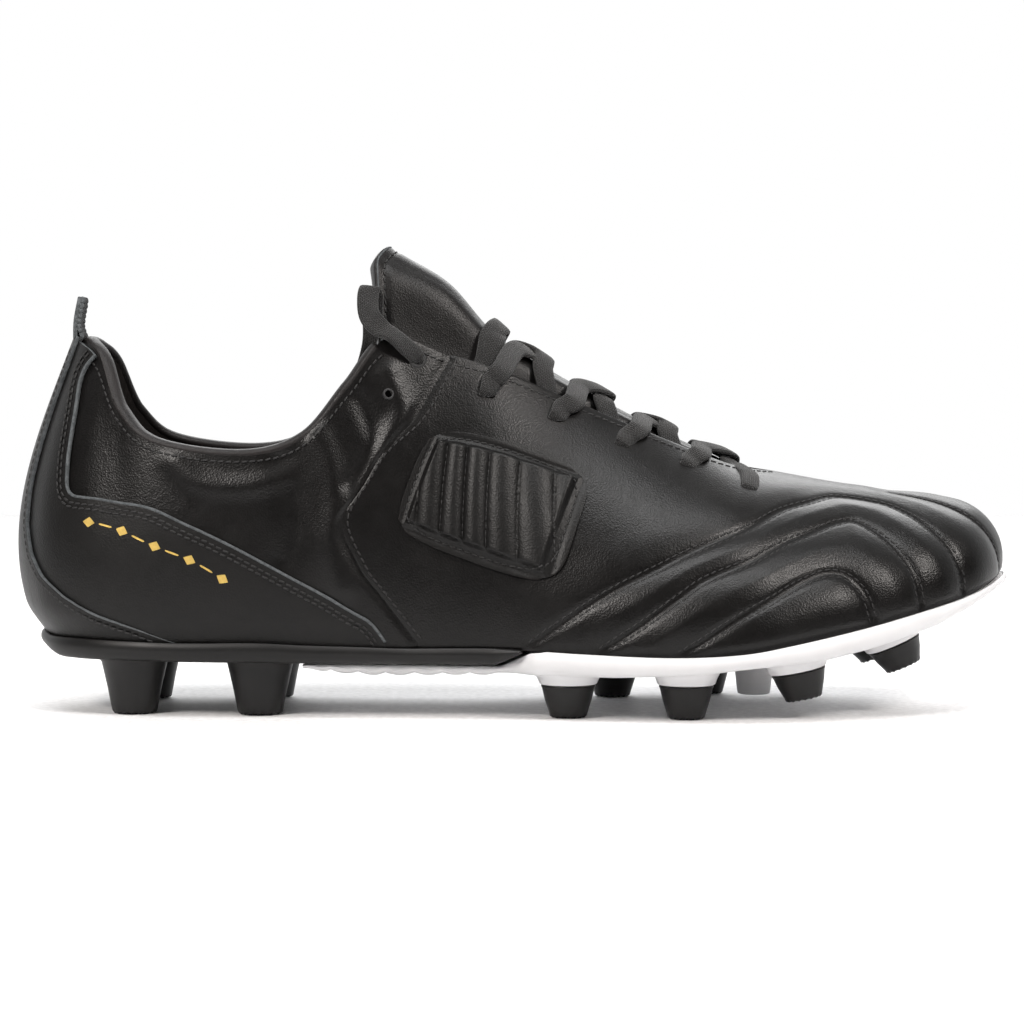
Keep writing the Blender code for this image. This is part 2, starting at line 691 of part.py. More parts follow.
def foot_height(u):
    return rib_control(0, u).z


def shell_profile(u):
    x = rib_control(0, u).x
    low = table_value(HEEL_SHELL_UNDERSIDE, x)
    top = foot_height(u) - 0.35
    middle = (low + top) / 2.0
    return [(1.2, top), (2.2, middle), (-1.0, low), (-6.0, low)]


def plate_profile(u):
    x = rib_control(0, u).x
    low = table_value(PLATE_UNDERSIDE, x)
    full = foot_height(u) - 0.35
    top = min(full, table_value(PLATE_TOP_STEP, x)) if x < 9.0 else full
    out = -5.0 + 6.4 * min(max((x + 2.0) / 9.0, 0.0), 1.0)
    middle = low + (top - low) * 0.55
    return [(out, top), (out + 0.7, middle), (out - 2.4, low + 0.3), (out - 7.0, low)]


def board_profile(u):
    base = foot_height(u)
    return [(-6.0, base + 1.3), (-6.0, base)]


def sockliner_profile(u):
    base = foot_height(u) + 1.75
    return [(-7.2, base + 4.4), (-9.8, base + 3.2), (-8.2, base)]


def make_sole(parts, cutters):
    front = station_at(SHELL_FRONT_X)
    shell_stations = [0.0, 0.35, 0.7, 1.05, 1.5, 2.0, 2.6, 3.4, 4.3, 5.3, 6.3, 7.3, 8.3, 9.3,
                      station_at(-5.0), front]
    ladder("outsole_heel_shell", shell_stations, shell_profile, "black_sole", parts)

    rear = station_at(SHANK_REAR_X)
    stations = spread(rear, station_at(-4.0), 5) + [station_at(x) for x in (0.5, 5.5, 9.0)]
    stations += [11.0, 11.7, 12.4, 13.1, 13.8, 14.5, 15.2, 15.9, 16.6, 17.2, 17.7, 18.1, 18.4, 18.7, 18.88, 19.0]
    plate = ladder("outsole_forefoot_plate", stations, plate_profile, "white_sole", parts)

    bases = []
    for name, x, y, z, height, tilt in TIPS:
        up = Vector((math.sin(math.radians(-tilt)), 0.0, math.cos(math.radians(tilt))))
        low = Vector((x, y, z)) + up * (height + 0.4)
        bases.append((low, low + up * 4.6, TIP_RADII[1] + 0.3, TIP_RADII[1] + 3.4))
    x, y, z, radius = CENTRE_STUD
    bases.append((Vector((x, y, z)), Vector((x, y, 17.5)), radius, radius + 2.6))
    operand = cutter("stud_bases", cones("stud_bases", bases), cutters)
    boolean(plate, operand, "UNION")

    for name, x, y, z, height, tilt in TIPS:
        up = Vector((math.sin(math.radians(-tilt)), 0.0, math.cos(math.radians(tilt))))
        low = Vector((x, y, z))
        rows = [(low, low + up * height, *TIP_RADII)]
        label = "stud_tip_" + name
        add_object(label, cones(label, rows), "black_sole", parts)
    for name, x, y in HEEL_STUDS:
        under = table_value(HEEL_SHELL_UNDERSIDE, x) - 0.35
        rows = [(Vector((x, y, 0.0)), Vector((x, y, under)), *HEEL_STUD_RADII)]
        label = "heel_stud_" + name
        add_object(label, cones(label, rows, 24), "black_sole", parts)

    inner = [0.0, 0.5, 1.0, 1.6, 2.4, 3.4, 4.6, 6.0, 7.5, 9.0, 10.2, 11.2, 12.2, 13.2, 14.2, 15.2, 16.2,
             17.0, 17.7, 18.2, 18.6, 19.0]
    ladder("insole_board", inner, board_profile, "fibre_board", parts)
    liner = ladder("sockliner", inner, sockliner_profile, "black_lining", parts)
    toe = outline_point(float(LAST_STATION), -7.2, foot_height(LAST_STATION) + 2.0)
    put_origin(liner, toe)


clear_scene()
PARTS = new_collection(NAME)
CUTTERS = new_collection("cutters")
SEAM = sorted((v, u) for u, v in (locate(x, z) for x, z in SEAM_LINE))
OVERLAY_TOP = sorted(locate(x, z) for x, z in OVERLAY_EDGE)
make_upper(PARTS)
make_heel(PARTS)
make_patches(PARTS)
make_tongue(PARTS)
make_eyelet_holes(PARTS, CUTTERS)
make_lace(PARTS)
make_sole(PARTS, CUTTERS)
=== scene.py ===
import math

import bmesh
import bpy
import numpy as np
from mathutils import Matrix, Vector


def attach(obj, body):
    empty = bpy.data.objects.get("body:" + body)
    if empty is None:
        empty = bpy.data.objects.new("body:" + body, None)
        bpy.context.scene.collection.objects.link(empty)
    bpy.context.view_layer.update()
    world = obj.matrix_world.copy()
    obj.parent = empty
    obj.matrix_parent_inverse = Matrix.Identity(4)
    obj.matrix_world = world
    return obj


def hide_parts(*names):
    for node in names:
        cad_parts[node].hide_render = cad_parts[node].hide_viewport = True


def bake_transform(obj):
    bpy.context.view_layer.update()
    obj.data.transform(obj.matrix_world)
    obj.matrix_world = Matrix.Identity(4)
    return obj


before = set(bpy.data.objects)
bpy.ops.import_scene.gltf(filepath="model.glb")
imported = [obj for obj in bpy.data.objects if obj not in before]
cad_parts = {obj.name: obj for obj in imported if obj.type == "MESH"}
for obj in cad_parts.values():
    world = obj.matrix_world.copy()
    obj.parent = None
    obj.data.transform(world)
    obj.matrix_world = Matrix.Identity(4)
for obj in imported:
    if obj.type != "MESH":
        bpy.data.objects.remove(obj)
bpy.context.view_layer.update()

MM = 0.001
SHIFT = np.array((-0.05, 2.4, 0.0))
SIDES = ((0, "lateral"), (1, "medial"))
BOOT, TONGUE_BODY, TAB_BODY, LINER_BODY = "boot", "tongue_assembly", "pull_tab_body", "sockliner_body"

# ---- the last: one row for each station from heel to toe ---------------------------------------
# foot x, foot z, lateral y, medial y | top x, top z, lateral y, medial y
STATIONS = [
    (-138.5, 22.0, 0.0, 0.0, -128.0, 110.0, 0.0, 0.0),
    (-134.0, 22.0, -16.0, 16.0, -126.0, 109.0, -7.0, 7.0),
    (-124.0, 22.0, -26.0, 26.0, -121.5, 104.5, -13.5, 13.5),
    (-110.0, 21.7, -32.0, 31.5, -115.5, 90.0, -22.0, 22.0),
    (-95.0, 21.4, -34.5, 34.0, -104.0, 80.3, -29.0, 28.5),
    (-75.0, 21.6, -36.0, 34.5, -78.0, 76.8, -33.0, 32.0),
    (-60.0, 21.0, -36.5, 34.0, -60.5, 82.0, -32.0, 31.0),
    (-45.0, 20.6, -37.0, 32.5, -47.5, 97.0, -28.5, 28.0),
    (-32.0, 20.2, -37.5, 31.0, -36.0, 110.2, -24.0, 24.0),
    (-18.0, 20.4, -39.0, 30.0, -20.0, 105.5, -20.5, 20.5),
    (-3.0, 20.4, -41.0, 30.5, -4.0, 100.8, -18.0, 18.0),
    (20.0, 19.3, -46.0, 36.0, 20.0, 90.3, -14.0, 15.0),
    (45.0, 18.6, -50.5, 43.0, 45.0, 79.3, -12.0, 14.0),
    (65.0, 19.5, -51.5, 46.5, 65.0, 71.5, -9.0, 11.0),
    (80.0, 22.0, -49.5, 46.0, 80.0, 68.8, 1.0, 1.0),
    (100.0, 26.2, -44.0, 41.0, 98.0, 65.6, 2.0, 2.0),
    (118.0, 30.6, -36.0, 37.0, 114.0, 63.8, 4.0, 4.0),
    (132.0, 34.2, -26.0, 30.5, 124.0, 62.6, 5.0, 5.0),
    (141.5, 37.6, -13.0, 21.0, 129.0, 61.5, 6.0, 6.0),
    (146.5, 39.5, 5.0, 5.0, 131.0, 61.0, 6.5, 6.5),
]
# How each rib bows: station, foot handle out and up, top handle out and down
RIB_HANDLES = [
    (0, 15.0, 28.0, 11.5, 30.0),
    (3, 6.0, 24.0, 6.0, 24.0),
    (5, 3.5, 18.0, 3.0, 18.0),
    (8, 2.5, 28.0, 7.0, 30.0),
    (10, 2.5, 26.0, 12.0, 20.0),
    (12, 2.0, 22.0, 17.0, 11.0),
    (14, 2.0, 20.0, 26.0, 2.0),
    (16, 2.0, 17.0, 21.0, 1.2),
    (19, 2.5, 12.0, 9.0, 0.8),
]
LAST_STATION = len(STATIONS) - 1
LOOP = 2 * LAST_STATION
CREST_START = 14

# Layers, as heights over the outer skin
LEATHER = 1.2
OVERLAY_RISE, OVERLAY = 1.5, 1.4
BACKSTAY_RISE, BACKSTAY = 2.8, 1.25
PATCH_RISE, PATCH = 1.2, 1.1
QUILT_GROOVE = 0.75
LINING_DEPTH, EYESTAY_LINING_DEPTH, LINING = 3.7, 1.5, 0.7

# Lines on the lateral side as (x, z); the medial side has the same ones
SEAM_LINE = [(-27.0, 22.0), (-38.0, 36.0), (-44.0, 43.5), (-49.0, 57.0), (-41.0, 70.6), (-29.0, 85.5),
             (-18.0, 103.5)]
OVERLAY_EDGE = [(-122.5, 104.5), (-126.2, 99.0), (-128.0, 88.0), (-129.8, 72.0), (-129.0, 64.6),
                (-124.0, 63.0), (-114.0, 62.0), (-104.8, 60.4), (-93.0, 55.2), (-73.0, 45.6), (-50.0, 33.2),
                (-41.0, 27.6), (-36.5, 21.6)]
PATCH_CORNERS = [(-34.5, 53.5), (13.2, 37.2), (24.7, 69.9), (-23.0, 84.3)]
QUILT_LINES = [
    [(5.2, 21.6), (13.8, 27.7), (36.8, 41.8), (60.3, 52.2), (84.5, 61.3), (96.5, 63.2), (108.2, 61.4),
     (116.0, 58.6), (122.9, 54.0), (128.5, 47.8), (131.4, 41.0), (131.9, 34.6)],
    [(25.1, 19.8), (36.6, 27.3), (48.0, 35.9), (59.5, 42.3), (83.0, 52.5), (95.0, 56.2), (100.5, 56.4),
     (106.7, 53.2), (112.5, 47.6), (116.8, 41.0), (118.8, 31.5)],
    [(47.2, 19.2), (64.8, 30.0), (76.4, 36.1), (88.0, 41.6), (93.7, 42.4), (98.0, 40.4), (101.7, 35.9),
     (104.0, 28.6)],
]
TOE_LINE = [(113.2, 63.6), (124.4, 61.6), (132.9, 58.6), (139.0, 54.6), (143.0, 49.6), (145.7, 41.5)]
FOLD_LINES = [
    ([(-56.0, 82.0), (-51.0, 66.0), (-52.0, 50.0), (-50.0, 38.0)], 1.1, 4.0),
    ([(-44.0, 92.0), (-40.0, 80.0), (-47.0, 68.0)], -0.9, 3.2),
    ([(-66.0, 74.0), (-63.0, 60.0), (-66.0, 46.0)], -0.7, 4.0),
    ([(-36.0, 100.0), (-32.0, 88.0), (-38.0, 77.0)], 0.9, 3.4),
    ([(-98.0, 74.0), (-90.0, 68.0), (-78.0, 67.0), (-66.0, 70.0)], 0.8, 3.5),
]
EYELETS = [("t", -27.5, 104.0), ("a", -6.5, 96.0), ("b", 14.1, 88.1), ("c", 33.2, 79.8),
           ("d", 52.4, 73.0), ("e", 70.0, 66.5)]
SPARE_EYELET = (-35.8, 93.6)
GOLD_LINE = [(-125.0, 56.5), (-112.0, 53.5), (-96.0, 47.0), (-81.0, 38.8)]

# Tongue: (station, x, z) of its ridge
TONGUE_RIDGE = [(13.3, 71.0, 68.5), (13.0, 62.0, 73.6), (12.0, 42.0, 83.0), (11.0, 18.0, 96.0),
                (10.0, -4.0, 110.0), (9.0, -19.0, 126.0), (8.0, -35.5, 137.2)]
TONGUE_DEPTH = 6.3
LACE_BAR = (73.5, 0.5, 66.0)
LACE_WIDTH, LACE_THICK = 6.6, 1.7
STITCH_PITCH, STITCH_LENGTH, STITCH_RADIUS = 2.3, 1.75, 0.26

# Sole
HEEL_SHELL_UNDERSIDE = [(-140.0, 16.2), (-60.0, 15.7), (-5.0, 15.6), (3.4, 19.3)]
PLATE_TOP_STEP = [(-70.0, 15.2), (-4.0, 15.1), (5.5, 19.4), (9.0, 19.7)]
PLATE_UNDERSIDE = [(-62.0, 13.8), (-40.0, 12.4), (-3.0, 12.8), (30.0, 12.6), (53.0, 13.5), (65.0, 15.0),
                   (91.0, 17.6), (105.0, 20.7), (124.0, 26.4), (134.0, 31.0), (141.0, 34.6), (148.0, 37.5)]
SHELL_FRONT_X, SHANK_REAR_X = 3.2, -61.0
HEEL_STUDS = [("lateral_rear", -111.0, -21.0), ("medial_rear", -111.0, 21.0),
              ("lateral_front", -73.8, -24.0), ("medial_front", -73.8, 23.0)]
HEEL_STUD_RADII = (6.65, 9.8)
TIPS = [
    ("lateral_1", 16.4, -33.0, 0.0, 9.4, 0.0), ("lateral_2", 50.5, -37.0, 0.0, 9.6, 0.0),
    ("lateral_3", 85.0, -33.0, 5.2, 8.4, 12.0), ("lateral_4", 115.5, -20.0, 13.4, 7.4, 24.0),
    ("medial_1", 31.0, 25.0, 0.0, 9.2, 0.0), ("medial_2", 60.0, 33.0, 0.0, 10.6, 0.0),
    ("medial_3", 88.0, 28.0, 5.8, 8.0, 12.0), ("medial_4", 112.0, 19.0, 12.6, 7.2, 23.0),
]
TIP_RADII = (5.5, 8.0)
CENTRE_STUD = (73.0, 4.0, 2.8, 5.0)


# ---- reading tables and curves -----------------------------------------------------------------

def table(rows, key, column=1):
    rows = sorted(rows)
    return np.interp(key, [row[0] for row in rows], [row[column] for row in rows])


def smooth(low, high, value):
    t = np.clip((np.asarray(value, float) - low) / (high - low), 0.0, 1.0)
    return t * t * (3.0 - 2.0 * t)


def catmull(p0, p1, p2, p3, t):
    return 0.5 * ((2.0 * p1) + (p2 - p0) * t + (2.0 * p0 - 5.0 * p1 + 4.0 * p2 - p3) * t * t
                  + (3.0 * p1 - p0 - 3.0 * p2 + p3) * t * t * t)


def spline(points, count):
    """Smooth open curve through the points, as count evenly numbered samples."""
    points = np.asarray(points, float)
    padded = np.vstack([2.0 * points[0] - points[1], points, 2.0 * points[-1] - points[-2]])
    place = np.linspace(0.0, len(points) - 1.0, count)
    index = np.minimum(place.astype(int), len(points) - 2)
    share = (place - index)[:, None]
    return catmull(padded[index], padded[index + 1], padded[index + 2], padded[index + 3], share)


def unit(vectors):
    vectors = np.asarray(vectors, float)
    return vectors / np.maximum(np.linalg.norm(vectors, axis=-1, keepdims=True), 1e-9)


def even(points, step):
    """The same polyline with points a fixed step apart, and its directions."""
    runs = np.linalg.norm(np.diff(points, axis=0), axis=1)
    along = np.concatenate([[0.0], np.cumsum(runs)])
    places = np.arange(step / 2.0, along[-1], step)
    moved = np.stack([np.interp(places, along, points[:, k]) for k in range(points.shape[1])], axis=1)
    ahead = np.stack([np.interp(places + 0.2, along, points[:, k]) for k in range(points.shape[1])], axis=1)
    behind = np.stack([np.interp(places - 0.2, along, points[:, k]) for k in range(points.shape[1])], axis=1)
    return moved, unit(ahead - behind)


# ---- the last ----------------------------------------------------------------------------------

def build_ribs():
    feet, tops = [], []
    for index in range(LOOP):
        outer = index <= LAST_STATION
        row = STATIONS[index if outer else LOOP - index]
        feet.append((row[0], row[2] if outer else row[3], row[1]))
        tops.append((row[4], row[6] if outer else row[7], row[5]))
    feet, tops = np.array(feet), np.array(tops)
    ribs = np.zeros((LOOP, 4, 3))
    up = np.array((0.0, 0.0, 1.0))
    for index in range(LOOP):
        foot, top = feet[index], tops[index]
        along = feet[(index + 1) % LOOP] - feet[index - 1]
        out = unit((along[1], -along[0], 0.0))
        fan = unit((foot[0] - top[0], foot[1] - top[1], 0.0))
        station = min(index, LOOP - index)
        share = min(max((station - 10.0) / 4.0, 0.0), 1.0) * 0.6
        out_top = unit(out * (1.0 - share) + fan * share)
        bow = [table(RIB_HANDLES, station, column) for column in (1, 2, 3, 4)]
        ribs[index] = (foot, foot + out * bow[0] + up * bow[1], top + out_top * bow[2] - up * bow[3], top)
    return ribs


RIBS = build_ribs()


def rib(u):
    """The four control points of the rib at each station in u."""
    u = np.asarray(u, float)
    index = np.floor(u).astype(int)
    share = (u - index)[..., None, None]
    p0, p1, p2, p3 = (RIBS[(index + step) % LOOP].copy() for step in (-1, 0, 1, 2))
    station = index % LOOP
    first = station == CREST_START
    last = station == LOOP - CREST_START - 1
    p0[first, 3] = 2.0 * p1[first, 3] - p2[first, 3]
    p3[last, 3] = 2.0 * p2[last, 3] - p1[last, 3]
    return catmull(p0, p1, p2, p3, share)


def skin(u, v):
    """Points of the outer skin: u counts stations round the boot, v runs from sole to top edge."""
    control = rib(u)
    v = np.asarray(v, float)[..., None]
    w = 1.0 - v
    return (w ** 3 * control[..., 0, :] + 3.0 * w * w * v * control[..., 1, :]
            + 3.0 * w * v * v * control[..., 2, :] + v ** 3 * control[..., 3, :])


def raw_normal(u, v):
    step = 0.02
    across = skin(u + step, v) - skin(u - step, v)
    up = skin(u, np.minimum(v + step, 1.0)) - skin(u, np.maximum(v - step, 0.0))
    return unit(np.cross(across, up))


def normal(u, v):
    u, v = np.broadcast_arrays(np.asarray(u, float), np.asarray(v, float))
    found = raw_normal(u, v)
    turned = u % LOOP
    crest = (v > 0.999) & (turned >= CREST_START) & (turned <= LOOP - CREST_START)
    if crest.any():
        both = unit(raw_normal(turned, np.full_like(v, 0.985))
                    + raw_normal(LOOP - turned, np.full_like(v, 0.985)))
        found = np.where(crest[..., None], both, found)
    return found


def layer(u, v, rise):
    u, v = np.broadcast_arrays(np.asarray(u, float), np.asarray(v, float))
    return skin(u, v) + normal(u, v) * np.asarray(rise, float)[..., None]


GRID_U, GRID_V = np.meshgrid(np.linspace(0.02, 19.0, 1200), np.linspace(0.0, 1.0, 160), indexing="ij")
GRID_POINTS = skin(GRID_U, GRID_V)


def locate(points):
    """(u, v) of lateral skin points given as rows (x, z)."""
    found = []
    for x, z in points:
        gap = (GRID_POINTS[..., 0] - x) ** 2 + (GRID_POINTS[..., 2] - z) ** 2
        place = np.unravel_index(np.argmin(gap), gap.shape)
        found.append((GRID_U[place], GRID_V[place]))
    return np.array(found)


def surface_line(points, count=160):
    """Dense (u, v) samples of a smooth line through lateral (x, z) points."""
    line = spline(locate(points), count)
    line[:, 1] = np.clip(line[:, 1], 0.0, 1.0)
    return line


def on_side(line, side):
    """The same (u, v) line on the lateral (0) or medial (1) side."""
    if side == 0:
        return line
    return np.stack([LOOP - line[:, 0], line[:, 1]], axis=1)


# ---- materials ---------------------------------------------------------------------------------

def add(tree, kind, settings=None, vector=None, **traits):
    """New shader node with its input values from settings, its own traits, and its Vector joined."""
    node = tree.nodes.new(kind)
    for key, value in traits.items():
        setattr(node, key, value)
    for key, value in (settings or {}).items():
        node.inputs[key].default_value = value
    if vector is not None:
        tree.links.new(vector, node.inputs["Vector"])
    return node


def shader_material(name, roughness, metallic=0.0, specular=0.5, sheen=0.0):
    made = bpy.data.materials.new(name)
    made.use_nodes = True
    tree = made.node_tree
    shader = tree.nodes["Principled BSDF"]
    for key, value in (("Roughness", roughness), ("Metallic", metallic), ("Specular IOR Level", specular),
                       ("Sheen Weight", sheen)):
        shader.inputs[key].default_value = value
    return made, tree, shader, add(tree, "ShaderNodeTexCoord").outputs["Object"]


def colour(tree, shader, source, low, high, dark, light):
    """Base colour that runs from dark to light while source runs from low to high."""
    node = add(tree, "ShaderNodeValToRGB")
    for element, position, tone in zip(node.color_ramp.elements, (low, high), (dark, light)):
        element.position = position
        element.color = (*tone, 1.0)
    tree.links.new(source, node.inputs["Fac"])
    tree.links.new(node.outputs["Color"], shader.inputs["Base Color"])


def shine_range(tree, shader, source, low, high):
    node = add(tree, "ShaderNodeMapRange", {"To Min": low, "To Max": high})
    tree.links.new(source, node.inputs["Value"])
    tree.links.new(node.outputs["Result"], shader.inputs["Roughness"])


def bumps(tree, shader, layers):
    """Chain of bump nodes, each (height socket, strength, distance in metres)."""
    before = None
    for height, strength, distance in layers:
        node = add(tree, "ShaderNodeBump", {"Strength": strength, "Distance": distance})
        tree.links.new(height, node.inputs["Height"])
        if before is not None:
            tree.links.new(before, node.inputs["Normal"])
        before = node.outputs["Normal"]
    tree.links.new(before, shader.inputs["Normal"])


def noise(tree, place, scale, detail=3.0, rough=0.55):
    settings = {"Scale": scale, "Detail": detail, "Roughness": rough}
    return add(tree, "ShaderNodeTexNoise", settings, place).outputs["Fac"]


def combine(tree, first, second, operation):
    node = add(tree, "ShaderNodeMath", operation=operation)
    tree.links.new(first, node.inputs[0])
    tree.links.new(second, node.inputs[1])
    return node.outputs[0]


def leather(name, dark, light, grain=1900.0, shine=(0.25, 0.4)):
    """Smooth-grain leather: fine pebbles, soft creases, patchy shine."""
    made, tree, shader, place = shader_material(name, 0.4, specular=0.28)
    colour(tree, shader, noise(tree, place, 55.0, 4.0), 0.3, 0.75, dark, light)
    shine_range(tree, shader, noise(tree, place, 190.0, 5.0), *shine)
    pebbles = add(tree, "ShaderNodeTexVoronoi", {"Scale": grain}, place).outputs["Distance"]
    bumps(tree, shader, [
        (noise(tree, place, 240.0, 4.0), 0.25, 0.0003),
        (pebbles, 0.5, 0.0001),
        (noise(tree, place, 3000.0, 2.0), 0.45, 0.00005),
    ])
    return made


def raw_edge(name, dark, light):
    """Cut edge of leather or board: fibrous and matt."""
    made, tree, shader, place = shader_material(name, 0.85, specular=0.25)
    colour(tree, shader, noise(tree, place, 900.0, 5.0, 0.7), 0.3, 0.7, dark, light)
    bumps(tree, shader, [(noise(tree, place, 2600.0, 3.0, 0.7), 0.6, 0.00015)])
    return made


def knit(name, dark, light, scale=900.0):
    """Close textile lining: crossed ribs with a soft nap."""
    made, tree, shader, place = shader_material(name, 0.85, specular=0.15, sheen=0.03)
    ribs = [add(tree, "ShaderNodeTexWave", {"Scale": scale, "Distortion": 0.6}, place, wave_type="BANDS",
                bands_direction=way).outputs["Fac"] for way in ("X", "Z")]
    cross = combine(tree, *ribs, "MULTIPLY")
    mixed = combine(tree, cross, noise(tree, place, 140.0, 4.0), "ADD")
    colour(tree, shader, mixed, 0.3, 1.3, dark, light)
    bumps(tree, shader, [(cross, 0.5, 0.0002), (noise(tree, place, 1800.0), 0.3, 0.0001)])
    return made


def moulded(name, dark, light, shine=(0.36, 0.46), specular=0.5):
    """Injection-moulded plastic: very fine texture, slight flow marks and scuffs."""
    made, tree, shader, place = shader_material(name, 0.42, specular=specular)
    colour(tree, shader, noise(tree, place, 35.0, 4.0), 0.35, 0.7, dark, light)
    shine_range(tree, shader, noise(tree, place, 260.0, 4.0), *shine)
    bumps(tree, shader, [(noise(tree, place, 1500.0, 3.0), 0.3, 0.00006)])
    return made


def woven(name, dark, light):
    """Flat lace: slanted yarns in rows, read from the lace's own length and width."""
    made, tree, shader, place = shader_material(name, 0.8, specular=0.25, sheen=0.2)
    yarn = add(tree, "ShaderNodeTexBrick", {
        "Scale": 1.0, "Color1": (1.0, 1.0, 1.0, 1.0), "Color2": (0.72, 0.72, 0.72, 1.0),
        "Mortar": (0.0, 0.0, 0.0, 1.0), "Mortar Size": 0.12, "Mortar Smooth": 1.0, "Brick Width": 0.95,
        "Row Height": 0.62}, add(tree, "ShaderNodeTexCoord").outputs["UV"]).outputs["Color"]
    colour(tree, shader, yarn, 0.05, 1.0, dark, light)
    bumps(tree, shader, [(yarn, 0.9, 0.00035), (noise(tree, place, 4200.0, 2.0), 0.4, 0.00012)])
    return made


def plain(name, tone, roughness, metallic=0.0, grain=1500.0, bump=0.00005, specular=0.5):
    made, tree, shader, place = shader_material(name, roughness, metallic, specular)
    colour(tree, shader, noise(tree, place, grain * 0.3), 0.3, 0.7, [0.8 * part for part in tone], tone)
    bumps(tree, shader, [(noise(tree, place, grain), 0.4, bump)])
    return made


SKIN_LEATHER = leather("black_leather_smooth", (0.0028, 0.0025, 0.0024), (0.0047, 0.0042, 0.0040))
OVERLAY_LEATHER = leather("black_leather_overlay", (0.0029, 0.0027, 0.0026), (0.0049, 0.0044, 0.0041),
                          1700.0, (0.34, 0.5))
TONGUE_LEATHER = leather("black_leather_tongue", (0.0031, 0.0026, 0.0025), (0.0054, 0.0046, 0.0043),
                         2100.0, (0.3, 0.46))
COLLAR_LEATHER = leather("black_brown_collar", (0.0055, 0.0044, 0.0043), (0.0110, 0.0085, 0.0083),
                         2100.0, (0.4, 0.55))
GREY_EDGE = raw_edge("grey_cut_edge", (0.0382, 0.0425, 0.0450), (0.1105, 0.1190, 0.1241))
DARK_EDGE = raw_edge("dark_cut_edge", (0.0084, 0.0072, 0.0072), (0.0240, 0.0204, 0.0192))
LINING_CLOTH = knit("black_lining_textile", (0.008, 0.0068, 0.0065), (0.022, 0.018, 0.017))
SOCK_CLOTH = knit("black_sockliner_textile", (0.009, 0.009, 0.0095), (0.03, 0.03, 0.032), 700.0)
FOAM_GREY = plain("grey_open_foam", (0.2, 0.2, 0.21), 0.95, grain=2600.0, bump=0.0003, specular=0.2)
FIBRE = raw_edge("pressed_fibre", (0.24, 0.19, 0.13), (0.4, 0.33, 0.25))
BLACK_TPU = moulded("black_moulded", (0.0055, 0.0053, 0.0053), (0.0090, 0.0085, 0.0084), specular=0.3)
WHITE_TPU = moulded("white_moulded", (0.66, 0.655, 0.665), (0.74, 0.74, 0.75), (0.3, 0.42))
THREAD = plain("black_thread", (0.0065, 0.0060, 0.0060), 0.6, grain=5000.0, bump=0.00012)
LACE_CLOTH = woven("black_woven_lace", (0.0020, 0.0020, 0.0020), (0.0100, 0.0095, 0.0092))
GOLD = plain("gold_foil", (0.72, 0.5, 0.13), 0.4, 0.55, 2400.0, 0.00006)
EYELET_EDGE = plain("dark_punched_edge", (0.0150, 0.0150, 0.0155), 0.6, grain=2200.0, bump=0.0001)
# near-black disc colour: painted shadow inside the lace holes
HOLE_SHADOW_PAINT = plain("hole_shadow", (0.001, 0.001, 0.001), 0.9, grain=2200.0, bump=0.0, specular=0.0)
AGLET_PLASTIC = plain("black_aglet_film", (0.0060, 0.0060, 0.0065), 0.18)
TAPE = knit("black_grey_tape", (0.0112, 0.0119, 0.0126), (0.0350, 0.0371, 0.0392), 1100.0)


# ---- making pieces -----------------------------------------------------------------------------

def new_object(name, mesh, materials):
    item = bpy.data.objects.new(name, mesh)
    bpy.context.scene.collection.objects.link(item)
    for made in materials:
        mesh.materials.append(made)
    return item


def settle(item, sharp=42.0):
    """Turn modifiers into mesh and shade it smooth with sharp corners kept."""
    seen = item.evaluated_get(bpy.context.evaluated_depsgraph_get())
    mesh = bpy.data.meshes.new_from_object(seen)
    item.modifiers.clear()
    old = item.data
    item.data = mesh
    bpy.data.meshes.remove(old)
    mesh.shade_smooth()
    mesh.set_sharp_from_angle(angle=math.radians(sharp))


def finish_piece(item, body, nodes=()):
    if isinstance(body, str):
        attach(item, body)
    else:
        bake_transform(item)
    if nodes:
        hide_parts(*nodes)


def raw_mesh(name, points, faces, weld=0.00002, outward=False):
    """Mesh in metres from points in millimetres, its doubled points joined and its faces turned outward."""
    mesh = bpy.data.meshes.new(name)
    mesh.from_pydata(((np.asarray(points, float).reshape(-1, 3) + SHIFT) * MM).tolist(), [], faces)
    bm = bmesh.new()
    bm.from_mesh(mesh)
    if weld:
        bmesh.ops.remove_doubles(bm, verts=bm.verts, dist=weld)
    if outward:
        bmesh.ops.recalc_face_normals(bm, faces=bm.faces)
    bm.to_mesh(mesh)
    bm.free()
    return mesh


def quads(columns, rows, closed=False):
    """Faces of a grid whose points are numbered column by column."""
    i, j = np.meshgrid(np.arange(columns - 1), np.arange(rows if closed else rows - 1), indexing="ij")
    a = i * rows + j
    b = i * rows + (j + 1) % rows
    return np.stack([a, a + rows, b + rows, b], axis=-1).reshape(-1, 4).tolist()


def capped(columns, rows, start=0):
    """Faces of rings of points joined into a rod with both ends closed, numbered from start."""
    last = start + (columns - 1) * rows
    faces = [[start + k for k in face] for face in quads(columns, rows, closed=True)]
    return faces + [list(range(start + rows - 1, start - 1, -1)), list(range(last, last + rows))]


def turns(count):
    return np.linspace(0.0, 2.0 * math.pi, count, endpoint=False)


def panel(name, points, thickness, face_material, rim_material, body, nodes=(), bevel=0.25):
    """Panel of leather: a grid of outer points, thickened inwards, with its cut edge in its own material."""
    columns, rows = points.shape[:2]
    item = new_object(name, raw_mesh(name, points, quads(columns, rows)), [face_material, rim_material])
    shell = item.modifiers.new("thickness", "SOLIDIFY")
    shell.thickness = thickness * MM
    shell.offset = -1.0
    shell.material_offset_rim = 1
    if bevel:
        edge = item.modifiers.new("edge", "BEVEL")
        edge.width = bevel * MM
        edge.segments = 2
        edge.limit_method = "ANGLE"
        edge.angle_limit = math.radians(55.0)
    settle(item)
    finish_piece(item, body, nodes)


